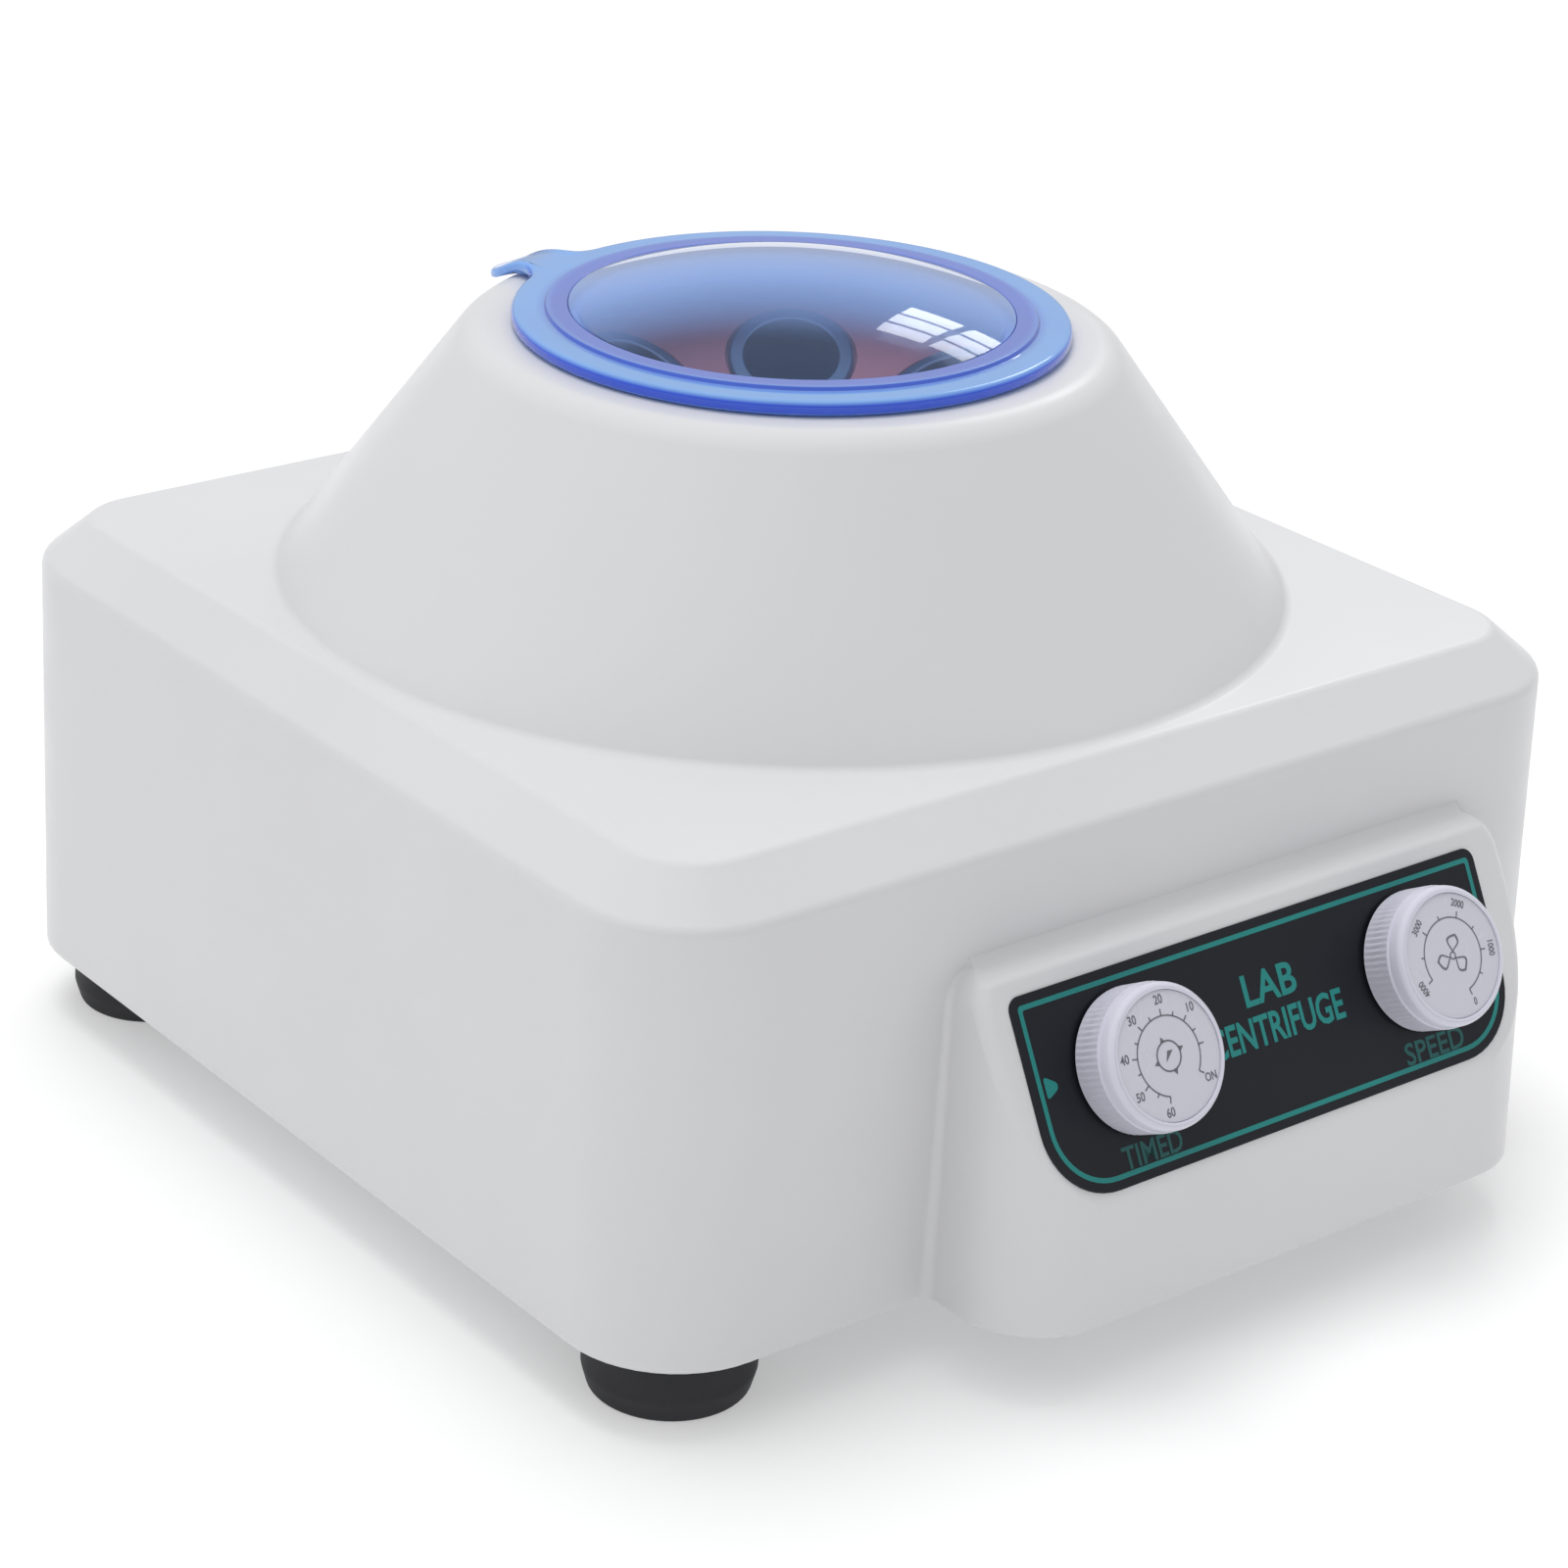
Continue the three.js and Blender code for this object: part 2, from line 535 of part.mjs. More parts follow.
function domeArc(edge, low, apex, steps) {
  const rise = apex - low;
  const radius = (edge * edge + rise * rise) / (2 * rise);
  const arc = [];
  for (let i = 0; i <= steps; i += 1) {
    const r = (i / steps) * edge;
    arc.push([r, apex - radius + Math.sqrt(radius * radius - r * r)]);
  }
  return arc;
}
const windowProfile = [
  ...domeArc(47, 166.8, WINDOW_APEX - 2.2, 3), [47, 165.3], [WINDOW, 165.3],
  ...domeArc(WINDOW, 168.1, WINDOW_APEX, 4).reverse(),
];
addPart(lid, 'lid_window', lathe(windowProfile, ROUND - 4), 0x6fa4ee, 0.08);

export default machine;
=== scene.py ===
import math

import bmesh
import bpy
import numpy as np
from mathutils import Matrix, Vector


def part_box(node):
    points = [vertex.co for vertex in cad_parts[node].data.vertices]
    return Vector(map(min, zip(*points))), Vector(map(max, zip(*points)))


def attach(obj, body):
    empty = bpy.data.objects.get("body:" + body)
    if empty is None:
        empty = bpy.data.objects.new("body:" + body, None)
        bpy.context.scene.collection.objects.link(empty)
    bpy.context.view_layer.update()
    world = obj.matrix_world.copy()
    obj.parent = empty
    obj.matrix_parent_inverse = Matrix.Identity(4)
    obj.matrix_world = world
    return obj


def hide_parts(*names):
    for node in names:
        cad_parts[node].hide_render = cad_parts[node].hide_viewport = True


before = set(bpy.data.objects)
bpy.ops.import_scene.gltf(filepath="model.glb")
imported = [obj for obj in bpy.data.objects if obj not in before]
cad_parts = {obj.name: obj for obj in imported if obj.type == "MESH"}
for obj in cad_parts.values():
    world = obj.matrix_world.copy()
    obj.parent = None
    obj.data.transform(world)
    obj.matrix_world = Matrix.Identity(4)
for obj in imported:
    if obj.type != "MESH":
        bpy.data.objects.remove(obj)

# Shapes are drawn in millimetres about the rotor axis, with z = 0 at the bottom edge of
# the housing, and moved into the row frame in metres when they become meshes.
ORIGIN = np.array((0.0, 16.6, 16.0))

BODY_HALF, BODY_DRAFT, BODY_CORNER = 130.0, 1.4, 26.0
WALL_TOP, BODY_TOP = 97.1, 106.7
CONE_BASE, CONE_TOP, CONE_SLOPE = 114.0, 163.75, 0.7411
MOUTH = 55.0
WALL = 3.0

BOX_LEFT, BOX_RIGHT, BOX_FRONT = -57.8, 96.0, -159.7
BOX_CORNER, BOX_SHOULDER = 20.0, 7.0
PANEL_TILT = math.radians(62)
PANEL_ORIGIN = np.array((0.0, -136.5, 73.0))

LABEL = dict(left=-49.0, right=84.5, bottom=-47.7, top=-3.7)
TIMER_X, SPEED_X, KNOB_Y = -21.9, 60.1, -23.4
KNOB_RADIUS, KNOB_FRONT, DIAL_TOP = 15.5, 12.7, 12.3

FLANGE, LID_SEAT, LID_TOP = 62.0, 164.05, 167.3
TAB_ANGLE = math.radians(112)
TAB_FROM, TAB_TO = 62.4, 66.0  # radii over which the rim's deep edge colour gives way

FOOT_AT = 105.0
FOOT_HEIGHT = 16.0
TUBE_PITCH, TUBE_MOUTH, TUBE_TILT = 39.0, 144.5, math.radians(30)
FIRST_TUBE = math.radians(51)

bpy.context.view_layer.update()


# ---- materials ----------------------------------------------------------------------
class Nodes:
    """Short calls for building one material's node tree."""

    def __init__(self, name):
        self.material = bpy.data.materials.new(name)
        self.material.use_nodes = True
        self.tree = self.material.node_tree
        self.shader = self.tree.nodes["Principled BSDF"]
        self.output = self.tree.nodes["Material Output"]
        self.coords = self.add("ShaderNodeTexCoord").outputs["Object"]

    def add(self, kind, **settings):
        node = self.tree.nodes.new(kind)
        for key, value in settings.items():
            setattr(node, key, value)
        return node

    def link(self, source, target):
        self.tree.links.new(source, target)

    def noise(self, scale, detail=3.0, stretch=None):
        node = self.add("ShaderNodeTexNoise")
        node.inputs["Scale"].default_value = scale
        node.inputs["Detail"].default_value = detail
        source = self.coords
        if stretch:
            mapping = self.add("ShaderNodeMapping")
            mapping.inputs["Scale"].default_value = stretch
            self.link(source, mapping.inputs["Vector"])
            source = mapping.outputs["Vector"]
        self.link(source, node.inputs["Vector"])
        return node.outputs["Fac"]

    def spread(self, value, low, high, start=0.35, end=0.65):
        """value, taken from start..end to low..high."""
        node = self.add("ShaderNodeMapRange")
        for key, number in (("From Min", start), ("From Max", end), ("To Min", low), ("To Max", high)):
            node.inputs[key].default_value = number
        self.link(value, node.inputs["Value"])
        return node.outputs["Result"]

    def mix(self, amount, first, second):
        """Colour between first and second, each an rgb triple or a socket."""
        node = self.add("ShaderNodeMix", data_type="RGBA")
        for socket, value in ((node.inputs[6], first), (node.inputs[7], second)):
            if isinstance(value, tuple):
                socket.default_value = (*value, 1.0)
            else:
                self.link(value, socket)
        self.link(amount, node.inputs[0])
        return node.outputs[2]

    def bump(self, height, strength, distance):
        node = self.add("ShaderNodeBump")
        node.inputs["Strength"].default_value = strength
        node.inputs["Distance"].default_value = distance
        self.link(height, node.inputs["Height"])
        if self.shader.inputs["Normal"].is_linked:
            self.link(self.shader.inputs["Normal"].links[0].from_socket, node.inputs["Normal"])
        self.link(node.outputs["Normal"], self.shader.inputs["Normal"])

    def edges(self, low=0.52, high=0.60):
        """0 on flats, 1 on outer edges, where the painted edge highlight goes."""
        geometry = self.add("ShaderNodeNewGeometry")
        return self.spread(geometry.outputs["Pointiness"], 0.0, 1.0, low, high)

    def set(self, **values):
        for key, value in values.items():
            self.shader.inputs[key.replace("_", " ")].default_value = value


def shade(colour, factor):
    return tuple(min(1.0, c * factor) for c in colour)


def moulded(name, colour, rough, grain=2600.0, depth=0.00003, mottle=0.03, edge_light=0.0, **extra):
    """Moulded plastic: fine spark grain, faint tone drift, outer edges painted lighter as a highlight."""
    m = Nodes(name)
    drift = m.noise(9.0, 4.0)
    tone = m.mix(m.spread(drift, 0.0, 1.0), shade(colour, 1 - mottle), shade(colour, 1 + mottle))
    # Painted highlight: outer edges, found by Pointiness, blend towards a brighter copy of the colour to
    # stand in for edge light.
    if edge_light:
        lit_edge = m.add("ShaderNodeMath", operation="MULTIPLY")
        m.link(m.edges(), lit_edge.inputs[0])
        lit_edge.inputs[1].default_value = edge_light
        tone = m.mix(lit_edge.outputs[0], tone, shade(colour, 1.25))
    m.link(tone, m.shader.inputs["Base Color"])
    haze = m.noise(55.0, 5.0)
    m.link(m.spread(haze, rough - 0.05, rough + 0.06), m.shader.inputs["Roughness"])
    m.bump(m.noise(grain, 2.0), 0.35, depth)
    m.bump(m.noise(38.0, 2.0), 0.08, 0.0004)
    m.set(**extra)
    return m.material


def metal(name, colour, rough, brushed=(1.0, 1.0, 1.0), grain=900.0, stain=0.12, **extra):
    """Bare or plated metal with a machined direction and dull patches."""
    m = Nodes(name)
    dull = m.noise(60.0, 5.0)
    m.link(m.mix(m.spread(dull, 0.0, 1.0), shade(colour, 1 - stain), colour),
           m.shader.inputs["Base Color"])
    lines = m.noise(grain, 3.0, brushed)
    m.link(m.spread(lines, rough - 0.08, rough + 0.1), m.shader.inputs["Roughness"])
    m.bump(lines, 0.25, 0.00004)
    m.set(Metallic=1.0, **extra)
    return m.material


def clear_blue(name, tint, body, haze, rough, deep=None, band=None):
    """Blue polycarbonate: a tinted see-through wall that hazes towards grazing, under a gloss skin.

    haze is (share facing, share grazing, facing from, facing to). band is (colour, from
    radius, to radius) about the axis. deep colours steep faces, and needs a band."""
    m = Nodes(name)
    colour = m.mix(m.spread(m.noise(20.0), 0.0, 1.0), shade(body, 0.96), shade(body, 1.03))
    if band:
        flat = m.add("ShaderNodeVectorMath", operation="MULTIPLY_ADD")
        m.link(m.coords, flat.inputs[0])
        flat.inputs[1].default_value = (1, 1, 0)
        flat.inputs[2].default_value = (0, -ORIGIN[1] / 1000, 0)
        radius = m.add("ShaderNodeVectorMath", operation="LENGTH")
        m.link(flat.outputs[0], radius.inputs[0])
        low, high = (r / 1000 for r in band[1:])
        colour = m.mix(m.spread(radius.outputs["Value"], 0.0, 1.0, low, high), band[0], colour)
    if deep:
        split = m.add("ShaderNodeSeparateXYZ")
        m.link(m.add("ShaderNodeNewGeometry").outputs["Normal"], split.inputs[0])
        upright = m.add("ShaderNodeMath", operation="ABSOLUTE")
        m.link(split.outputs["Z"], upright.inputs[0])
        shallow = m.spread(upright.outputs[0], 0.0, 1.0, 0.35, 0.9)
        beyond = m.spread(radius.outputs["Value"], 0.0, 1.0, TAB_FROM / 1000, TAB_TO / 1000)
        either = m.add("ShaderNodeMath", operation="MAXIMUM")
        m.link(shallow, either.inputs[0])
        m.link(beyond, either.inputs[1])
        colour = m.mix(either.outputs[0], deep, colour)
    m.link(colour, m.shader.inputs["Base Color"])
    m.link(m.spread(m.noise(70.0, 4.0), rough * 0.7, rough * 1.4), m.shader.inputs["Roughness"])
    m.bump(m.noise(45.0, 1.5), 0.05, 0.0003)
    through = m.add("ShaderNodeBsdfTransparent")
    through.inputs["Color"].default_value = (*tint, 1.0)
    wall = m.add("ShaderNodeMixShader")
    m.link(m.spread(m.add("ShaderNodeLayerWeight").outputs["Facing"], *haze), wall.inputs[0])
    m.link(through.outputs[0], wall.inputs[1])
    m.link(m.shader.outputs[0], wall.inputs[2])
    skin = m.add("ShaderNodeMixShader")
    shine = m.add("ShaderNodeBsdfGlossy")
    shine.inputs["Roughness"].default_value = rough
    fresnel = m.add("ShaderNodeFresnel")
    fresnel.inputs["IOR"].default_value = 1.5
    outside = m.add("ShaderNodeMath", operation="SUBTRACT")
    outside.inputs[0].default_value = 1.0
    m.link(m.add("ShaderNodeNewGeometry").outputs["Backfacing"], outside.inputs[1])
    gloss = m.add("ShaderNodeMath", operation="MULTIPLY")
    m.link(fresnel.outputs[0], gloss.inputs[0])
    m.link(outside.outputs[0], gloss.inputs[1])
    m.link(gloss.outputs[0], skin.inputs[0])
    m.link(wall.outputs[0], skin.inputs[1])
    m.link(shine.outputs[0], skin.inputs[2])
    m.link(skin.outputs[0], m.output.inputs["Surface"])
    return m.material


# Where a plastic below is given an edge amount, its outer edges are painted lighter as a highlight.
WHITE_ABS = moulded("white_abs", (0.70, 0.70, 0.707), 0.36, mottle=0.012, edge_light=0.15,
                    Coat_Weight=0.12, Coat_Roughness=0.25)
BOWL_WHITE = moulded("bowl_white", (0.80, 0.82, 0.85), 0.40, mottle=0.02)
RUBBER = moulded("black_rubber", (0.0125, 0.0125, 0.0155), 0.66, grain=1400.0, depth=0.00008,
                 mottle=0.25, edge_light=0.5)
LABEL_FILM = moulded("label_film", (0.0095, 0.0105, 0.0155), 0.42, grain=3800.0, depth=0.00001,
                     mottle=0.05, Specular_IOR_Level=0.3)
TEAL_INK = moulded("teal_ink", (0.007, 0.215, 0.200), 0.42, grain=3000.0, mottle=0.06)
DARK_TEAL = moulded("dark_teal_ink", (0.006, 0.095, 0.090), 0.45, grain=3000.0, mottle=0.10)
DIAL_INK = moulded("dial_ink", (0.15, 0.15, 0.175), 0.45, grain=3000.0, mottle=0.10)
KNOB_ABS = moulded("knob_abs", (0.66, 0.655, 0.75), 0.34, mottle=0.015, edge_light=0.2,
                   Coat_Weight=0.2, Coat_Roughness=0.2)
DIAL_FACE = moulded("dial_face", (0.63, 0.625, 0.705), 0.28, mottle=0.012,
                    Coat_Weight=0.35, Coat_Roughness=0.15)
BAKELITE = moulded("bakelite", (0.66, 0.20, 0.19), 0.33, grain=900.0, mottle=0.16, edge_light=0.3,
                   Coat_Weight=0.3, Coat_Roughness=0.2)
INLET_NYLON = moulded("inlet_nylon", (0.022, 0.022, 0.024), 0.48, mottle=0.12, edge_light=0.3)
BOARD = moulded("board_green", (0.02, 0.12, 0.055), 0.38, grain=1500.0, mottle=0.15)
CARBON = moulded("carbon", (0.02, 0.02, 0.021), 0.7, mottle=0.2)
BRIGHT_STEEL = metal("bright_steel", (0.64, 0.64, 0.66), 0.26, (1.0, 1.0, 9.0))
ZINC = metal("zinc_sheet", (0.50, 0.52, 0.54), 0.40, (1.0, 7.0, 1.0), stain=0.25)
MOTOR_METAL = metal("motor_metal", (0.38, 0.40, 0.43), 0.42, (1.0, 1.0, 12.0), stain=0.2)
DARK_IRON = metal("dark_iron", (0.12, 0.12, 0.13), 0.5, (1.0, 1.0, 40.0), stain=0.3)
COPPER = metal("copper", (0.72, 0.32, 0.15), 0.3, (1.0, 1.0, 9.0), stain=0.3)
TIMER_METAL = metal("timer_metal", (0.55, 0.46, 0.22), 0.38, stain=0.2)
POT_METAL = metal("pot_metal", (0.36, 0.37, 0.39), 0.42, stain=0.2)
SLEEVE_METAL = metal("sleeve_metal", (0.33, 0.42, 0.55), 0.36, (1.0, 1.0, 14.0), stain=0.15)
LID_BLUE = clear_blue("lid_blue", (0.34, 0.55, 1.0), (0.27, 0.53, 1.0), (0.75, 0.85, 0.3, 0.85),
                      0.08, deep=(0.02, 0.10, 0.80), band=((0.17, 0.26, 0.78), 52.6, 56.6))
WINDOW_BLUE = clear_blue("window_blue", (0.86, 0.92, 1.0), (0.27, 0.46, 0.92),
                         (0.06, 0.84, 0.50, 0.78), 0.03)


# ---- mesh helpers -------------------------------------------------------------------
def add_mesh(name, points, faces, material, body, replaced=(), sharp=32.0):
    """A smooth-shaded piece from points about the rotor axis, riding on a CAD body."""
    mesh = bpy.data.meshes.new(name)
    mesh.from_pydata(((np.asarray(points, float) + ORIGIN) / 1000).tolist(), [], faces)
    return add_piece(name, mesh, material, body, replaced, sharp)


def add_piece(name, mesh, material, body, replaced=(), sharp=32.0):
    work = bmesh.new()
    work.from_mesh(mesh)
    bmesh.ops.recalc_face_normals(work, faces=work.faces)
    work.to_mesh(mesh)
    work.free()
    mesh.shade_smooth()
    mesh.set_sharp_from_angle(angle=math.radians(sharp))
    mesh.materials.clear()
    mesh.materials.append(material)
    piece = bpy.data.objects.new(name, mesh)
    bpy.context.scene.collection.objects.link(piece)
    flats = piece.modifiers.new("flat_normals", "WEIGHTED_NORMAL")
    flats.keep_sharp = True
    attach(piece, body)
    if replaced:
        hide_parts(*replaced)
    return piece


def grid_faces(rows, columns, wrap_rows=False):
    """Quads over a grid of points whose columns close on themselves."""
    faces = []
    for row in range(rows if wrap_rows else rows - 1):
        here, there = row * columns, ((row + 1) % rows) * columns
        for i in range(columns):
            j = (i + 1) % columns
            faces.append((here + i, here + j, there + j, there + i))
    return faces


def rounded(corners, steps=6, closed=False):
    """Points along a polyline of (x, y, radius) corners, each corner rounded."""
    points = []
    count = len(corners)
    for i, (x, y, radius) in enumerate(corners):
        here = np.array((x, y), float)
        if radius == 0 or (not closed and i in (0, count - 1)):
            points.append(here)
            continue
        back = np.array(corners[i - 1][:2]) - here
        ahead = np.array(corners[(i + 1) % count][:2]) - here
        back, ahead = back / np.linalg.norm(back), ahead / np.linalg.norm(ahead)
        half = math.acos(np.clip(back @ ahead, -1, 1)) / 2
        middle = (back + ahead) / np.linalg.norm(back + ahead)
        centre = here + middle * radius / math.sin(half)
        start = here + back * radius / math.tan(half) - centre
        end = here + ahead * radius / math.tan(half) - centre
        sweep = math.pi - 2 * half
        for k in range(steps + 1):
            t = k / steps
            arc = math.sin((1 - t) * sweep) * start + math.sin(t * sweep) * end
            points.append(centre + arc / math.sin(sweep))
    return np.array(points)


def refined(points, step):
    """The same polyline with no stretch longer than step."""
    out = [points[0]]
    for a, b in zip(points, points[1:]):
        parts = max(1, math.ceil(np.linalg.norm(b - a) / step))
        out.extend(a + (b - a) * k / parts for k in range(1, parts + 1))
    return np.array(out)


def turned(profile, columns):
    """Points and faces of a closed (radius, z) loop turned about the axis."""
    angles = np.linspace(0, 2 * math.pi, columns, endpoint=False)
    points = [(r * math.cos(a), r * math.sin(a), z) for r, z in profile for a in angles]
    return points, grid_faces(len(profile), columns, wrap_rows=True)


def turned_solid(profile, columns):
    """The same for a profile that starts and ends on the axis."""
    angles = np.linspace(0, 2 * math.pi, columns, endpoint=False)
    rim = profile[1:-1]
    points = [(r * math.cos(a), r * math.sin(a), z) for r, z in rim for a in angles]
    faces = grid_faces(len(rim), columns)
    first, last = len(points), len(points) + 1
    points += [(0, 0, profile[0][1]), (0, 0, profile[-1][1])]
    top = (len(rim) - 1) * columns
    for i in range(columns):
        j = (i + 1) % columns
        faces += [(first, j, i), (last, top + i, top + j)]
    return points, faces


def moved(points, place):
    """Points carried by a 4x4 in millimetres."""
    points = np.asarray(points, float)
    return points @ place[:3, :3].T + place[:3, 3]


def spin(angle, axis):
    return np.array(Matrix.Rotation(angle, 4, axis))


def shift(x, y, z):
    return np.array(Matrix.Translation((x, y, z)))


def boolean(target, tools, operation):
    """target's mesh after cutting or joining the tool objects, which are then removed."""
    for tool in tools:
        modifier = target.modifiers.new("cut", "BOOLEAN")
        modifier.operation = operation
        modifier.solver = "EXACT"
        modifier.object = tool
    graph = bpy.context.evaluated_depsgraph_get()
    mesh = bpy.data.meshes.new_from_object(target.evaluated_get(graph))
    for spent in (target, *tools):
        bpy.data.objects.remove(spent)
    return mesh


def loose(name, points, faces):
    mesh = bpy.data.meshes.new(name)
    mesh.from_pydata(((np.asarray(points, float) + ORIGIN) / 1000).tolist(), [], faces)
    work = bmesh.new()
    work.from_mesh(mesh)
    bmesh.ops.recalc_face_normals(work, faces=work.faces)
    work.to_mesh(mesh)
    work.free()
    piece = bpy.data.objects.new(name, mesh)
    bpy.context.scene.collection.objects.link(piece)
    return piece


# ---- housing ------------------------------------------------------------------------
BOX_COLUMNS = dict(wall_left=10, fillet=8, side=3, corner=16, front=34, wall_right=6)


def stretch(start, end, parts):
    """parts points from start to end, without the start."""
    return [start + (end - start) * k / parts for k in range(1, parts + 1)]


def arc(centre, radius, start, end, parts):
    """parts points on an arc, without the start; angles in degrees."""
    angles = np.radians(np.linspace(start, end, parts + 1)[1:])
    return [np.array((centre[0] + radius * math.cos(a), centre[1] + radius * math.sin(a)))
            for a in angles]


def box_outline(half, inset, z, front):
    """The control box in plan, from the wall on its left to the wall on its right."""
    c = BOX_COLUMNS
    depth = -half - front
    shoulder = BOX_SHOULDER - math.sqrt(BOX_SHOULDER ** 2 - np.clip(z - 67.6 + inset, 0, 7) ** 2)
    draft = 2.3 * min(z, 75.0) / 75.0 + shoulder + inset
    left, right = BOX_LEFT + draft, BOX_RIGHT - draft
    edge = min(3.2, 0.45 * depth)
    fillet = min(2.6 - 1.2 * min(z, 75.0) / 75.0, 0.5 * depth)
    radius = BOX_CORNER - inset - edge
    centre_y = BOX_FRONT + 0.02 * z + BOX_CORNER
    limit = front + edge

    def corner(x_centre, x_side, start, end):
        points = []
        for a in np.radians(np.linspace(start, end, c["corner"] + 1)):
            direction = np.array((math.cos(a), math.sin(a)))
            point = np.array((x_centre, centre_y)) + radius * direction
            if limit > centre_y:
                point = np.array((x_side + math.copysign(edge, x_centre - x_side), limit))
            elif point[1] < limit:
                reach = math.sqrt(radius ** 2 - (centre_y - limit) ** 2)
                point = np.array((x_centre + math.copysign(reach, x_side - x_centre), limit))
            points.append(point + edge * direction)
        return points

    left_corner = corner(left + BOX_CORNER - inset, left, 180, 270)
    right_corner = corner(right - BOX_CORNER + inset, right, 270, 360)
    wall_y = -half
    start = np.array((left - fillet, wall_y))
    end = np.array((right + fillet, wall_y))
    outline = arc(start - (0, fillet), fillet, 90, 0, c["fillet"])
    outline += stretch(outline[-1], left_corner[0], c["side"])
    outline += left_corner[1:]
    outline += stretch(left_corner[-1], right_corner[0], c["front"])
    outline += right_corner[1:]
    foot = np.array((right, wall_y - fillet))
    outline += stretch(right_corner[-1], foot, c["side"])
    outline += arc(end - (0, fillet), fillet, 180, 90, c["fillet"])
    return start, outline


def plan(half, corner, box=None, spread=None):
    """One closed plan outline of the housing, anticlockwise from its front left corner."""
    c = BOX_COLUMNS
    inner = half - corner
    points = arc((-inner, -inner), corner, 180, 270, 12)
    if box:
        start, outline = box
    else:
        start = np.array((spread[0], -half))
        outline = [np.array((x, -half)) for x in spread[1:]]
    points += stretch(points[-1], start, c["wall_left"])
    points += outline
    points += stretch(points[-1], np.array((inner, -half)), c["wall_right"])
    points += arc((inner, -inner), corner, 270, 360, 12)
    points += stretch(points[-1], np.array((half, inner)), 26)
    points += arc((inner, inner), corner, 0, 90, 12)
    points += stretch(points[-1], np.array((-inner, half)), 26)
    points += arc((-inner, inner), corner, 90, 180, 12)
    points += stretch(points[-1], np.array((-half, -inner)), 26)
    return np.array(points)


def body_half(z):
    return BODY_HALF - BODY_DRAFT * z / WALL_TOP


def box_rows(inset):
    """Rows of the lower housing, up to where the control box has run out."""
    wall = -body_half(75) + inset
    ledge = 73.0 - inset
    profile = [(BOX_FRONT + inset, 0, 0), (-159.0 + inset, 30.5 - 0.25 * inset, 12),
               (PANEL_ORIGIN[1] + 0.6 * inset, ledge, 2.0), (wall, ledge + 1.6, 0),
               (wall + 0.1, ledge + 10, 0)]
    rows = []
    for front, z in refined(rounded(profile), 2.6):
        half = body_half(z) - inset
        if front > -half - 0.06:
            continue
        rows.append((z, half, box_outline(half, inset, z, front)))
    return rows


HOUSING_NODES = ["upper_housing", "cone_hood", "mouth_collar", "control_box"]


def housing():
    rows = []

    def level(outline, z):
        rows.append(np.column_stack((outline, np.full(len(outline), z))))

    def ring(radius, z, angles):
        outline = radius * np.column_stack((np.cos(angles), np.sin(angles)))
        level(outline, z)

    lower = box_rows(0)
    close = np.array([p[0] for p in (lower[-1][2][0], *lower[-1][2][1])])
    even = np.array([p[0] for p in (lower[3][2][0], *lower[3][2][1])])
    spread = 0.55 * even + 0.45 * np.linspace(even[0], even[-1], len(even))
    foot_half, foot_box = lower[0][1:]
    level(plan(foot_half, BODY_CORNER, foot_box) * 0.9965, 0.0)
    for z, half, box in lower:
        level(plan(half, BODY_CORNER, box), max(z, 0.6))
    level(plan(body_half(75.9), BODY_CORNER, spread=close), 75.9)
    shoulder = rounded([(body_half(82), 82, 0), (128.6, WALL_TOP, 3.5), (117.2, BODY_TOP, 3.0),
                        (112, BODY_TOP, 0)], 8)
    for half, z in shoulder[:-1]:
        corner = BODY_CORNER - 1.0 * max(0.0, 128.65 - half)
        level(plan(half, corner, spread=spread if z > 83 else close), z)
    around = np.arctan2(rows[-1][:, 1], rows[-1][:, 0])
    slope_x = CONE_BASE - CONE_SLOPE * (CONE_TOP - BODY_TOP)
    cone = rounded([(119, BODY_TOP, 0), (CONE_BASE, BODY_TOP, 3.0), (slope_x, CONE_TOP, 9.0),
                    (MOUTH, CONE_TOP, 1.5), (MOUTH, 157.5, 0.8), (MOUTH + 3, 157.5, 0.8),
                    (MOUTH + 3, CONE_TOP - WALL, 1.0), (70.2, CONE_TOP - WALL, 5.0),
                    (112.5, 103.9, 0)], 9)
    for radius, z in refined(cone[1:], 9.0):
        ring(radius, z, around)
    inner = rounded([(113.9, 103.7, 0), (124.7, 94.8, 4.0), (body_half(80) - WALL, 80, 0)], 3)
    for half, z in inner:
        corner = BODY_CORNER - WALL - 1.0 * max(0.0, 125.6 - half)
        level(plan(half, corner, spread=spread), z)
    for z, half, box in reversed(box_rows(WALL)):
        level(plan(half, BODY_CORNER - WALL, box), z)
    points = np.concatenate(rows)
    faces = grid_faces(len(rows), len(rows[0]), wrap_rows=True)
    low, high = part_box("power_inlet")
    centre = [(a + b) / 2 * 1000 for a, b in zip(low, high)] - ORIGIN
    hole = rounded([(-14.2, -10.7, 2), (14.2, -10.7, 2), (14.2, 10.7, 2), (-14.2, 10.7, 2)], 4, closed=True)
    cutter = np.concatenate([np.column_stack((hole[:, 0] + centre[0], np.full(len(hole), y),
                                              hole[:, 1] + centre[2])) for y in (115, 140)])
    sides = grid_faces(2, len(hole))
    sides += [tuple(range(len(hole))), tuple(range(2 * len(hole) - 1, len(hole) - 1, -1))]
    mesh = boolean(loose("shell", points, faces), [loose("inlet_hole", cutter, sides)], "DIFFERENCE")
    add_piece("housing_shell", mesh, WHITE_ABS, "base", HOUSING_NODES, 40)


housing()


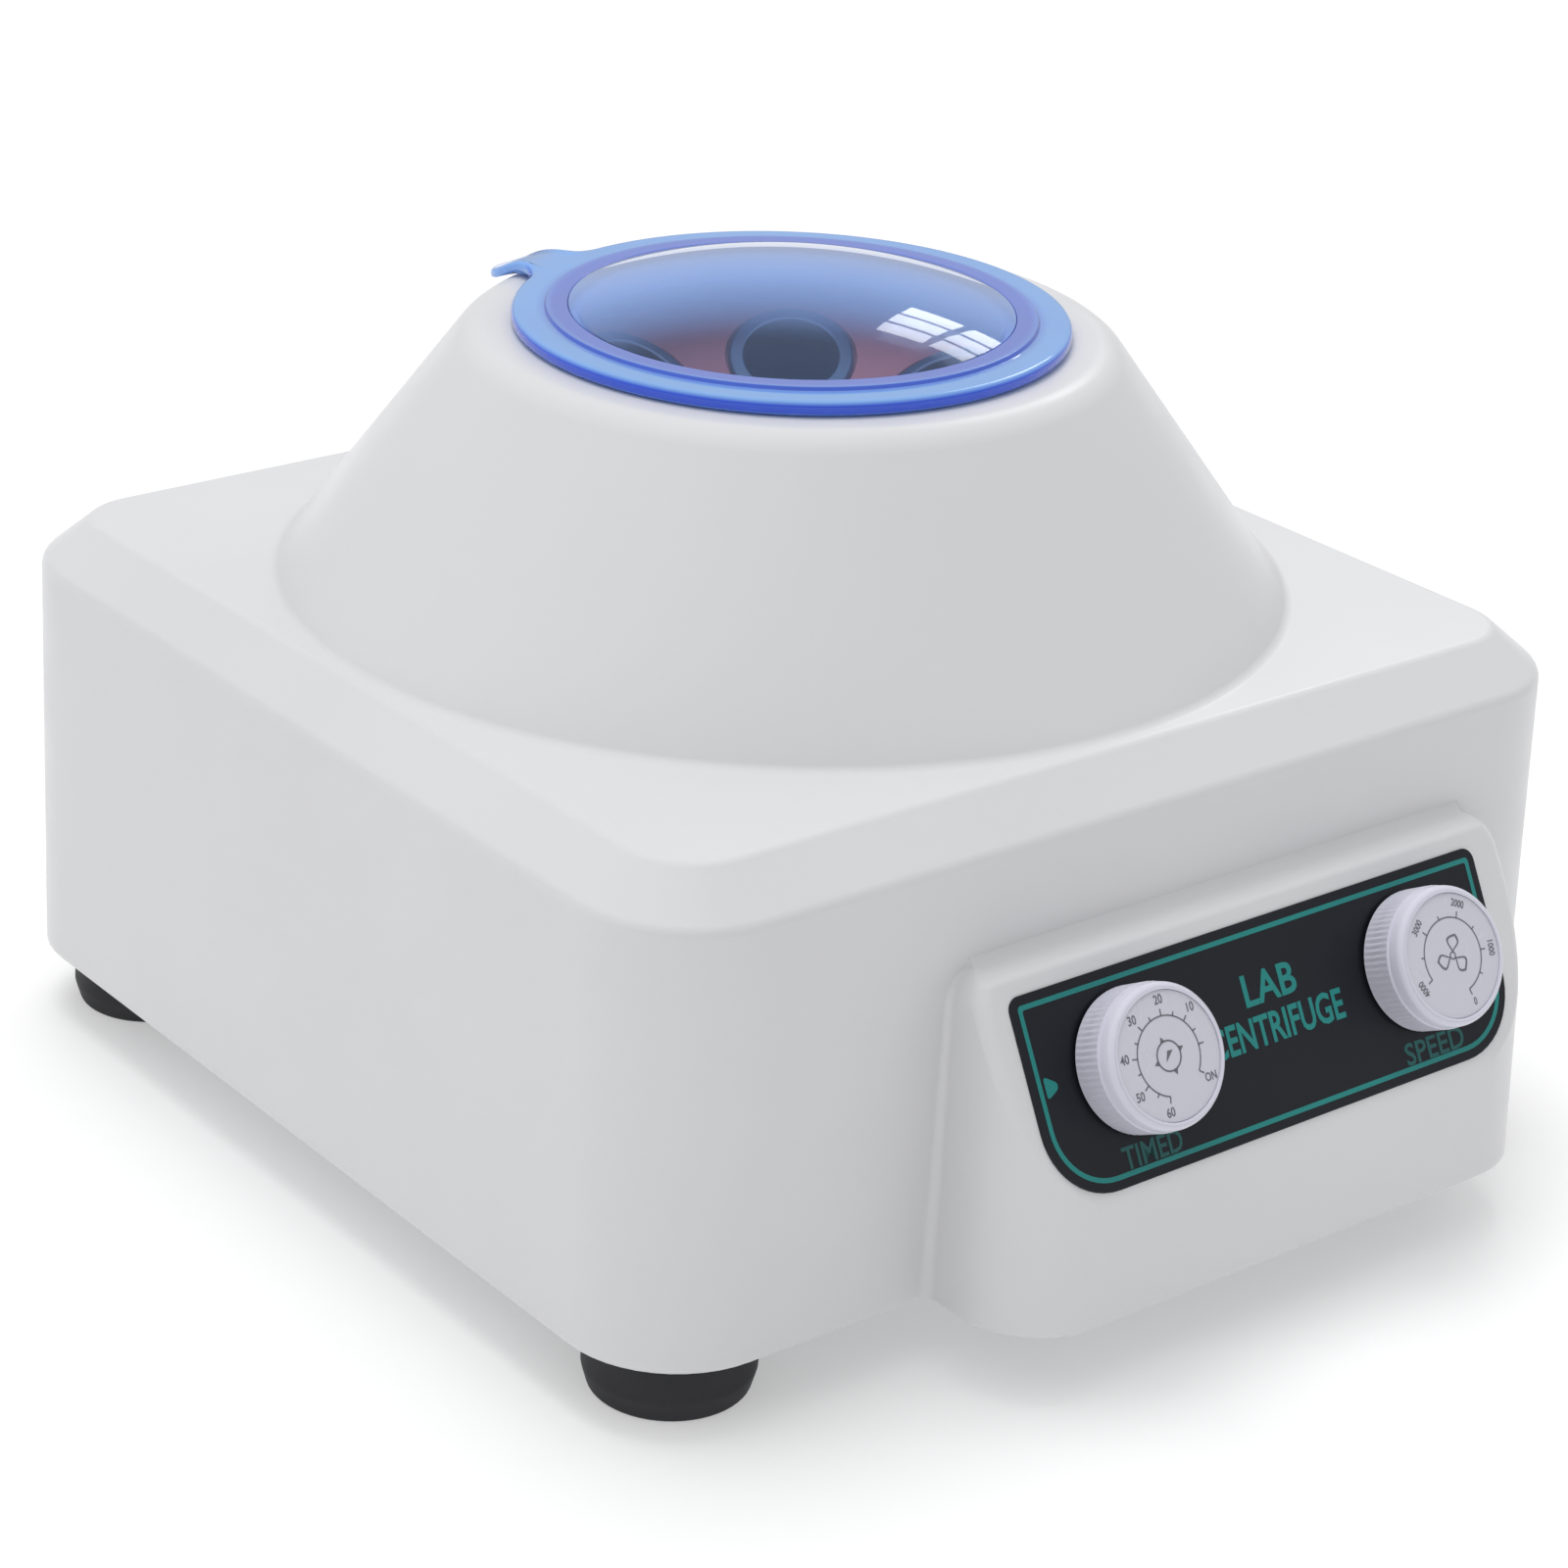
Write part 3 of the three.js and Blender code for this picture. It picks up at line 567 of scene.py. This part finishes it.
# ---- feet and chamber ---------------------------------------------------------------
def feet():
    profile = rounded([(5.5, -FOOT_HEIGHT, 0.5), (17.0, -FOOT_HEIGHT, 1.3), (18.4, -11.0, 4.0),
                       (17.3, -0.3, 0.8), (2.4, -0.3, 0), (2.4, -6, 0), (5.5, -6, 0)],
                      5, closed=True)
    points, faces = turned(profile, 56)
    corners = [(-1, -1), (1, -1), (1, 1), (-1, 1)]
    for i, (sx, sy) in enumerate(corners, 1):
        place = shift(sx * FOOT_AT, sy * FOOT_AT, 0)
        add_mesh(f"rubber_foot_{i}", moved(points, place), faces, RUBBER, "base", [f"foot_{i}"])


feet()

bowl_profile = rounded([(9, 90, 0.5), (44, 90, 4), (44, 47, 3), (105.2, 47, 8), (105.2, 98.8, 0.5),
                        (116, 98.8, 0.4), (116, 100.8, 0.4), (103, 100.8, 1.0), (103, 49.2, 6),
                        (46.2, 49.2, 2), (46.2, 92.2, 5), (9, 92.2, 0.5)], 5, closed=True)
add_mesh("bowl_liner", *turned(bowl_profile, 96), BOWL_WHITE, "base", ["chamber_bowl"])


# ---- rotor --------------------------------------------------------------------------
def sleeve_place(i):
    turn = spin(FIRST_TUBE + i * math.pi / 3, "Z")
    return turn @ shift(TUBE_PITCH, 0, TUBE_MOUTH) @ spin(-TUBE_TILT, "Y")


def rotor():
    def funnel(r):
        return 143 + (r - 40) * math.tan(TUBE_TILT)

    profile = rounded([(5.3, 112, 0.4), (13, 112, 1.0), (15, funnel(15) - 6.9, 4),
                       (55.5, funnel(55.5) - 6.9, 1.5), (58, funnel(58) - 5.5, 1.0),
                       (58, funnel(58) - 0.6, 1.4), (56.8, funnel(56.8), 0.4),
                       (16, funnel(16), 3.0), (11, 129.6, 1.0), (5.3, 129.6, 0.4)], 5, closed=True)
    dish = loose("dish", *turned(profile, 120))
    seat = [(0, -20), (12.3, -20), (12.3, -2.8), (15.3, -2.8), (15.3, 10), (0, 10)]
    cutter, cutter_faces = turned_solid(seat, 48)
    tools = [loose(f"seat_{i}", moved(cutter, sleeve_place(i)), cutter_faces) for i in range(6)]
    mesh = boolean(dish, tools, "DIFFERENCE")
    add_piece("rotor_funnel", mesh, BAKELITE, "rotor", ["rotor_dish"], 30)

    inside = rounded([(0, -93.4, 0), (9.8, -92.6, 7.0), (11, -84, 0), (11, -1.0, 0), (11, 0, 0.6),
                      (14.5, 0, 0.7), (14.5, -2.5, 0.5), (12, -2.5, 0.2), (12, -84, 0),
                      (11.2, -94.6, 8.0), (0, -95, 0)], 5)
    points, faces = turned_solid(inside, 44)
    for i in range(6):
        add_mesh(f"sleeve_{i + 1}", moved(points, sleeve_place(i)), faces, SLEEVE_METAL, "rotor",
                 [f"tube_sleeve_{i + 1}"])


rotor()


# ---- lid ----------------------------------------------------------------------------
def ease(t, start, end):
    """0 before start, 1 after end, smooth between them."""
    return 0.5 - 0.5 * math.cos(math.pi * min(max((t - start) / (end - start), 0), 1))


def tab_line(t):
    """Height of the finger tab's middle over the flange's, and its thickness as a share."""
    lift = 0.6 * ease(t, 61, 66.5) - 4.0 * ease(t, 66.5, 78.5)
    return lift, 1 - 0.25 * ease(t, 62, 69)


def lid_flange():
    side, tip, flare = 6.8, 71.6, 9.0
    centre_t = math.sqrt((FLANGE + flare) ** 2 - (side + flare) ** 2)
    lean = math.degrees(math.atan2(side + flare, centre_t))
    outline = arc((0, 0), FLANGE, lean, 360 - lean, 190)
    outline += arc((centre_t, -side - flare), flare, 180 - lean, 90, 12)
    outline += stretch(outline[-1], np.array((tip, -side)), 5)
    outline += arc((tip, 0), side, -90, 90, 30)
    outline += stretch(outline[-1], np.array((centre_t, side)), 5)
    outline += arc((centre_t, side + flare), flare, 270, 180 + lean, 12)
    outline = np.array(outline)
    angles = np.degrees(np.arctan2(outline[:, 1], outline[:, 0])) % 360
    angles[190:] = np.linspace(-lean, lean, len(outline) - 190 + 1)[1:]
    angles = np.radians(angles)
    tangent = np.roll(outline, -1, 0) - np.roll(outline, 1, 0)
    tangent /= np.linalg.norm(tangent, axis=1)[:, None]
    inward = np.column_stack((-tangent[:, 1], tangent[:, 0]))
    middle, thick, edge = (LID_SEAT + LID_TOP) / 2, (LID_TOP - LID_SEAT) / 2, 1.35
    rows = []

    def circle(radius, z):
        rows.append(np.column_stack((radius * np.cos(angles), radius * np.sin(angles),
                                     np.full(len(angles), z))))

    def across(radius, share, offset, height):
        """Row between the circle and the outline inset by offset; height is from the middle."""
        ring = radius * np.column_stack((np.cos(angles), np.sin(angles)))
        flat = ring + (outline + inward * offset - ring) * share
        level = [middle + lift + height * share for lift, share in map(tab_line, flat[:, 0])]
        rows.append(np.column_stack((flat, level)))

    for r, z in rounded([(49.5, 165, 0), (46.5, 165, 0.4), (46.5, 162.4, 0.5), (50, 162.4, 0),
                         (50, 158, 0.8), (54.4, 158, 0.8), (54.4, LID_SEAT, 0)], 3):
        circle(r, z)
    for share in (0.15, 0.4, 0.7):
        across(54.4, share, edge, -thick)
    for a in np.linspace(-math.pi / 2, math.pi / 2, 9):
        offset = edge * (1 - math.cos(a))
        height = edge * math.sin(a) + math.copysign(thick - edge, a)
        across(54.4, 1.0, offset, height)
    for share in (0.7, 0.4, 0.15):
        across(55.1, share, edge, thick)
    for r, z in rounded([(55.1, LID_TOP, 0), (54.7, LID_TOP, 0.2), (54.2, 168.15, 0.3),
                         (49.5, 168.15, 0.25), (49.5, 166.5, 0)], 3):
        circle(r, z)
    points = moved(np.concatenate(rows), spin(TAB_ANGLE, "Z"))
    faces = grid_faces(len(rows), len(outline), wrap_rows=True)
    add_mesh("lid_rim", points, faces, LID_BLUE, "lid", ["lid_flange", "lid_spigot"])


def dome(edge, low, apex, steps):
    rise = apex - low
    radius = (edge ** 2 + rise ** 2) / (2 * rise)
    return [(r, apex - radius + math.sqrt(radius ** 2 - r ** 2), 0)
            for r in np.linspace(0, edge, steps + 1)]


lid_flange()
window = [*dome(47, 166.8, 174.2, 16), (47, 165.3, 0.2), (49.4, 165.3, 0.2), (49.4, 168.1, 0.1),
          *reversed(dome(49.35, 168.15, 176.4, 18))]
add_mesh("lid_dome", *turned_solid(rounded(window, 3), 112), WINDOW_BLUE, "lid", ["lid_window"])


# ---- panel --------------------------------------------------------------------------
PANEL = shift(*PANEL_ORIGIN) @ spin(PANEL_TILT, "X")


def label_outline(margin, steps=12):
    box = LABEL
    low, high = 16 - margin, max(3 - margin, 0.6)
    return rounded([(box["left"] + margin, box["top"] - margin, high),
                    (box["left"] + margin, box["bottom"] + margin, low),
                    (box["right"] - margin, box["bottom"] + margin, low),
                    (box["right"] - margin, box["top"] - margin, high)], steps, closed=True)


def label():
    rows = [(0.25, -0.25), (0.0, -0.1), (0.0, 0.25), (0.12, 0.38), (0.3, 0.42)]
    outlines = [np.column_stack((label_outline(m), np.full(52, z))) for m, z in rows]
    faces = grid_faces(len(rows), 52)
    faces += [tuple(range(51, -1, -1)), tuple(range((len(rows) - 1) * 52, len(rows) * 52))]
    add_mesh("label_plate", moved(np.concatenate(outlines), PANEL), faces, LABEL_FILM, "base",
             ["control_label"])
    inset, width, base, top = 2.0, 1.05, 0.40, 0.47
    loop = [(inset, base), (inset, top), (inset + width, top), (inset + width, base)]
    outlines = [np.column_stack((label_outline(m), np.full(52, z))) for m, z in loop]
    faces = grid_faces(4, 52, wrap_rows=True)
    add_mesh("label_line", moved(np.concatenate(outlines), PANEL), faces, TEAL_INK, "base")
    pointer = rounded([(-45.2, -20.6, 0.5), (-45.2, -25.6, 0.5), (-40.9, -23.4, 1.1)], 6, closed=True)
    prism("label_pointer", pointer, base, top, TEAL_INK, "base", PANEL)


def prism(name, outline, low, high, material, body, place):
    count = len(outline)
    points = np.concatenate([np.column_stack((outline, np.full(count, z))) for z in (low, high)])
    faces = grid_faces(2, count)
    faces += [tuple(range(count - 1, -1, -1)), tuple(range(count, 2 * count))]
    return add_mesh(name, moved(points, place), faces, material, body)


def lettering(name, words, material, body, place, height=0.07, weight=0.04):
    """Flat raised words: (text, size, x, y, width, turn) with places in millimetres."""
    joined = bmesh.new()
    for text, size, x, y, width, turn in words:
        curve = bpy.data.curves.new(name, "FONT")
        curve.body = text
        curve.size = size
        curve.align_x = "CENTER"
        curve.align_y = "CENTER"
        curve.extrude = height / 2
        curve.offset = weight
        curve.resolution_u = 3
        holder = bpy.data.objects.new(name, curve)
        bpy.context.scene.collection.objects.link(holder)
        mesh = bpy.data.meshes.new_from_object(holder.evaluated_get(
            bpy.context.evaluated_depsgraph_get()))
        spot = Matrix(shift(x, y, 0)) @ Matrix(spin(turn, "Z")) @ Matrix.Diagonal((width, 1, 1, 1))
        mesh.transform(spot)
        joined.from_mesh(mesh)
        bpy.data.objects.remove(holder)
        bpy.data.meshes.remove(mesh)
    bmesh.ops.remove_doubles(joined, verts=joined.verts, dist=1e-4)
    mesh = bpy.data.meshes.new(name)
    joined.to_mesh(mesh)
    joined.free()
    centre = Matrix.Scale(0.001, 4) @ Matrix.Translation(ORIGIN) @ Matrix(place)
    mesh.transform(centre)
    return add_piece(name, mesh, material, body)


label()
lettering("label_words", [
    ("LAB", 9.4, 18.4, -18.2, 0.95, 0), ("CENTRIFUGE", 9.0, 18.1, -27.0, 0.73, 0),
], TEAL_INK, "base", PANEL @ shift(0, 0, 0.44), 0.07, 0.2)
lettering("knob_words", [
    ("TIMED", 6.6, -22.4, -42.3, 0.86, 0), ("SPEED", 6.6, 59.6, -42.4, 1.0, 0),
], DARK_TEAL, "base", PANEL @ shift(0, 0, 0.44), 0.07, 0.1)


# ---- knobs --------------------------------------------------------------------------
def knob_cap(name, x, body):
    ribs, per_rib = 72, 4
    columns = ribs * per_rib
    outer = rounded([(13.7, 1.2, 0), (KNOB_RADIUS - 0.15, 1.2, 0.3), (KNOB_RADIUS, 8.6, 0.25),
                     (KNOB_RADIUS - 0.55, 8.85, 0.15), (KNOB_RADIUS - 0.55, 9.2, 0.15),
                     (KNOB_RADIUS - 0.2, 9.5, 0.25), (KNOB_RADIUS - 0.45, KNOB_FRONT, 1.6),
                     (13.45, KNOB_FRONT - 0.1, 0.6), (13.45, 11.6, 0)], 5)
    outer = refined(outer, 1.8)
    inner = [(8.0, 11.6), (2.5, 11.6), (2.5, 10.6), (3.2, 10.6), (3.2, 3.6), (5.5, 3.6), (5.5, 9.2),
             (13.7, 9.2)]
    points = []
    for r, z in [*outer, *inner]:
        depth = 0.36 * np.clip((z - 1.3) / 0.5, 0, 1) * np.clip((8.6 - z) / 0.4, 0, 1)
        depth = depth if r > 14.5 else 0.0
        for i in range(columns):
            a = 2 * math.pi * i / columns
            rib = (0.0, 0.5, 1.0, 0.5)[i % per_rib]
            points.append(((r - depth * rib) * math.cos(a), (r - depth * rib) * math.sin(a), z))
    faces = grid_faces(len(outer) + len(inner), columns, wrap_rows=True)
    place = PANEL @ shift(x, KNOB_Y, 0)
    add_mesh(f"{name}_cap", moved(points, place), faces, KNOB_ABS, body, [f"{name}_knob_cap"], 45)
    face = rounded([(0, 11.9, 0), (13.42, 11.9, 0.1), (13.42, DIAL_TOP, 0.12), (0, DIAL_TOP, 0)], 4)
    add_mesh(f"{name}_face", *[moved(turned_solid(face, 96)[0], place), turned_solid(face, 96)[1]],
             DIAL_FACE, body, [f"{name}_dial"])
    return place


SCALE = 8.2  # radius of the printed scales, whose angles are in degrees


def dial_strip(centre, radius, start, end, width, parts=60):
    """Outline of an arc stroke, angles in degrees, anticlockwise."""
    angles = np.radians(np.linspace(start, end, parts))
    outer = [(centre[0] + (radius + width / 2) * math.cos(a),
              centre[1] + (radius + width / 2) * math.sin(a)) for a in angles]
    inner = [(centre[0] + (radius - width / 2) * math.cos(a),
              centre[1] + (radius - width / 2) * math.sin(a)) for a in reversed(angles)]
    return np.array(outer + inner)


def tick(angle, low, high, width):
    a = math.radians(angle)
    along, side = np.array((math.cos(a), math.sin(a))), np.array((-math.sin(a), math.cos(a)))
    corners = ((low, -1), (high, -1), (high, 1), (low, 1))
    return np.array([along * r + side * s * width / 2 for r, s in corners])


def marks(name, outlines, body, place, low=DIAL_TOP - 0.02, high=DIAL_TOP + 0.05):
    """Printed strokes as one thin raised piece."""
    points, faces = [], []
    for outline in outlines:
        count, first = len(outline), len(points)
        for z in (low, high):
            points += [(x, y, z) for x, y in outline]
        faces += [tuple(first + i for i in face) for face in grid_faces(2, count)]
        faces += [tuple(first + i for i in range(count - 1, -1, -1)),
                  tuple(first + i for i in range(count, 2 * count))]
    add_mesh(name, moved(points, place), faces, DIAL_INK, body)


TIMER_ON = -36


def timer_angle(minutes):
    return 2 + 4.2 * minutes


def timer_knob():
    place = knob_cap("timer", TIMER_X, "timer_knob")
    strokes = [dial_strip((0, 0), SCALE, TIMER_ON, timer_angle(60), 0.3, 110)]
    for minutes in range(0, 61, 5):
        reach = 1.4 if minutes % 10 == 0 else 0.9
        strokes.append(tick(timer_angle(minutes), SCALE, SCALE + reach, 0.3))
    strokes.append(tick(TIMER_ON, SCALE, SCALE + 1.4, 0.3))
    strokes.append(dial_strip((0, 0), 3.1, 0, 359, 0.36, 48))
    for quarter in (14, 104, 194, 284):
        a = math.radians(quarter)
        tip, side = np.array((math.cos(a), math.sin(a))), np.array((-math.sin(a), math.cos(a)))
        strokes.append(np.array([tip * 3.15 - side * 0.6, tip * 4.3, tip * 3.15 + side * 0.6]))
    strokes.append(np.array([(-1.0, -1.1), (1.25, 1.0), (-0.15, 1.1)]))
    marks("timer_marks", strokes, "timer_knob", place)
    words = []
    for number in (10, 20, 30, 40, 50, 60):
        a = math.radians(timer_angle(number))
        words.append((str(number), 2.7, 11.5 * math.cos(a), 11.5 * math.sin(a), 0.85, 0))
    a = math.radians(TIMER_ON)
    words.append(("ON", 2.5, 11.5 * math.cos(a), 11.5 * math.sin(a), 0.8, 0))
    lettering("timer_numbers", words, DIAL_INK, "timer_knob", place @ shift(0, 0, DIAL_TOP + 0.015))


def speed_knob():
    place = knob_cap("speed", SPEED_X, "speed_knob")
    scale = {0: -74, 1000: -5, 2000: 64, 3000: 135, 4000: 205}
    strokes = [dial_strip((0, 0), SCALE, scale[0], scale[4000], 0.3, 110)]
    stops = list(scale.values())
    for low, high in zip(stops, stops[1:]):
        strokes += [tick(low, SCALE, SCALE + 1.4, 0.3),
                    tick((low + high) / 2, SCALE, SCALE + 0.9, 0.3)]
    strokes.append(tick(stops[-1], SCALE, SCALE + 1.4, 0.3))
    for blade in range(3):
        turn = math.radians(120 * blade + 64)
        rotate = np.array(((math.cos(turn), -math.sin(turn)), (math.sin(turn), math.cos(turn))))
        reach = np.linspace(0, 1, 15)
        half = 1.75 * np.sin(math.pi * reach ** 1.4)
        middle = np.column_stack((0.5 + 4.3 * reach, 0.55 * np.sin(math.pi * reach)))
        side = np.column_stack((0 * half, half))
        leaf = np.concatenate((middle + side, (middle - side)[-2:0:-1]))
        hollow = leaf.mean(0) + (leaf - leaf.mean(0)) * 0.74
        ring = np.concatenate((leaf, leaf[:1], hollow[:1], hollow[::-1]))
        strokes.append(ring @ rotate.T)
    strokes.append(dial_strip((0, 0), 0.75, 0, 359, 0.3, 24))
    marks("speed_marks", strokes, "speed_knob", place)
    words = []
    for number, angle in scale.items():
        a = math.radians(angle)
        words.append((str(number), 2.3, 11.3 * math.cos(a), 11.3 * math.sin(a), 0.8,
                      a - math.pi / 2 if number else 0))
    lettering("speed_numbers", words, DIAL_INK, "speed_knob", place @ shift(0, 0, DIAL_TOP + 0.015))


timer_knob()
speed_knob()


# ---- carried-over CAD nodes ---------------------------------------------------------
FINISHES = {
    ZINC: ["base_plate", "motor_plate"],
    RUBBER: [f"rubber_damper_{i}" for i in range(1, 5)],
    BRIGHT_STEEL: [*[f"foot_screw_{i}" for i in range(1, 5)], *[f"bowl_screw_{i}" for i in range(1, 5)],
                   "motor_bearing_lower", "motor_bearing_upper", "timer_nut", "speed_nut",
                   "timer_spindle", "speed_spindle", "inlet_pin_live", "inlet_pin_earth",
                   "inlet_pin_neutral", "drive_shaft", "rotor_nut"],
    MOTOR_METAL: ["motor_can", "motor_end_bell"],
    DARK_IRON: ["motor_stator", "motor_armature"],
    CARBON: ["motor_brush_1", "motor_brush_2"],
    COPPER: ["motor_commutator"],
    TIMER_METAL: ["timer_body"],
    POT_METAL: ["speed_control_body"],
    BOARD: ["speed_board"],
    INLET_NYLON: ["power_inlet"],
}
for material, names in FINISHES.items():
    for name in names:
        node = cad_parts[name]
        node.data.materials.clear()
        node.data.materials.append(material)
        node.data.shade_smooth()
        node.data.set_sharp_from_angle(angle=math.radians(30))
        bevel = node.modifiers.new("soft_edges", "BEVEL")
        bevel.width = 0.00025
        bevel.segments = 2
        bevel.limit_method = "ANGLE"
        bevel.angle_limit = math.radians(40)


# ---- stage, light and camera --------------------------------------------------------
def floor():
    mesh = bpy.data.meshes.new("floor")
    mesh.from_pydata([(-4, -4, 0), (4, -4, 0), (4, 4, 0), (-4, 4, 0)], [], [(0, 1, 2, 3)])
    ground = bpy.data.objects.new("floor", mesh)
    bpy.context.scene.collection.objects.link(ground)
    m = Nodes("floor_paper")
    m.link(m.mix(m.noise(3.0), (0.60, 0.60, 0.60), (0.62, 0.62, 0.62)), m.shader.inputs["Base Color"])
    m.set(Roughness=0.9, Emission_Color=(1, 1, 1, 1), Emission_Strength=0.37)
    mesh.materials.append(m.material)


def light(name, kind, place, aim, power):
    data = bpy.data.lights.new(name, kind)
    data.energy = power
    source = bpy.data.objects.new(name, data)
    source.location = place
    source.rotation_euler = (Vector(aim) - Vector(place)).to_track_quat("-Z", "Y").to_euler()
    source.visible_camera = False
    source.visible_glossy = kind != "SUN"
    bpy.context.scene.collection.objects.link(source)
    return data


def panel_light(name, place, aim, size, power):
    data = light(name, "AREA", place, aim, power)
    data.shape = "RECTANGLE"
    data.size, data.size_y = size


# The window is in metres: where it shows on the dome, the way to it, how far, and its panes.
WINDOW_SPOT, WINDOW_WAY, WINDOW_REACH = (0.011, -0.022, 0.187), (0.689, 0.494, 0.530), 1.5
PANE_SIZE, PANE_STEP, PANE_POWER = (0.128, 0.092), (0.15, 0.112), 0.17


def window_light():
    """A window of six panes, for the reflection in the dome."""
    direction = Vector(WINDOW_WAY)
    centre = Vector(WINDOW_SPOT) + direction * WINDOW_REACH
    across = Vector((0, 0, 1)).cross(direction).normalized()
    upward = direction.cross(across).normalized()
    for column in (-0.5, 0.5):
        for row in (-1, 0, 1):
            spot = centre + across * column * PANE_STEP[0] + upward * row * PANE_STEP[1]
            panel_light("window_pane", spot, (0, 0, 0.19), PANE_SIZE, PANE_POWER)


floor()
for name, place, power, spread in (
        ("overhead", (0, 0.25, 1), 1.14, 30), ("overhead_left", (-0.35, -0.05, 1), 0.5, 50),
        ("left", (-1, 0.4, 0.7), 0.18, 60), ("right", (0.7, 0.3, 0.8), 0.39, 60)):
    light(name, "SUN", place, (0, 0, 0), power).angle = math.radians(spread)
window_light()

world = bpy.data.worlds.new("studio")
world.use_nodes = True
world.node_tree.nodes["Background"].inputs["Color"].default_value = (0.97, 0.98, 1.0, 1.0)
world.node_tree.nodes["Background"].inputs["Strength"].default_value = 0.52
bpy.context.scene.world = world
bpy.context.scene.view_settings.view_transform = "Standard"


CAMERA_PLACE = (-552.4, -688.1, 447.7)
CAMERA_ANGLES = (-38.933, 24.097, 2.4905)  # azimuth, elevation and roll in degrees
FOCAL, FRAME, SENSOR = 4258.1, 1600, 36  # focal length and frame in one unit, sensor in mm


def camera():
    azimuth, elevation, roll = map(math.radians, CAMERA_ANGLES)
    back = Vector((math.sin(azimuth) * math.cos(elevation),
                   -math.cos(azimuth) * math.cos(elevation), math.sin(elevation)))
    right = Vector((0, 0, 1)).cross(back).normalized()
    up = back.cross(right)
    x_axis = right * math.cos(roll) + up * math.sin(roll)
    y_axis = up * math.cos(roll) - right * math.sin(roll)
    place = Vector(CAMERA_PLACE) + Vector(ORIGIN)
    data = bpy.data.cameras.new("camera")
    data.sensor_width = SENSOR
    data.lens = SENSOR * FOCAL / FRAME
    view = bpy.data.objects.new("camera", data)
    view.matrix_world = Matrix.Translation(place / 1000) @ Matrix(
        (x_axis, y_axis, back)).transposed().to_4x4()
    bpy.context.scene.collection.objects.link(view)
    bpy.context.scene.camera = view


camera()
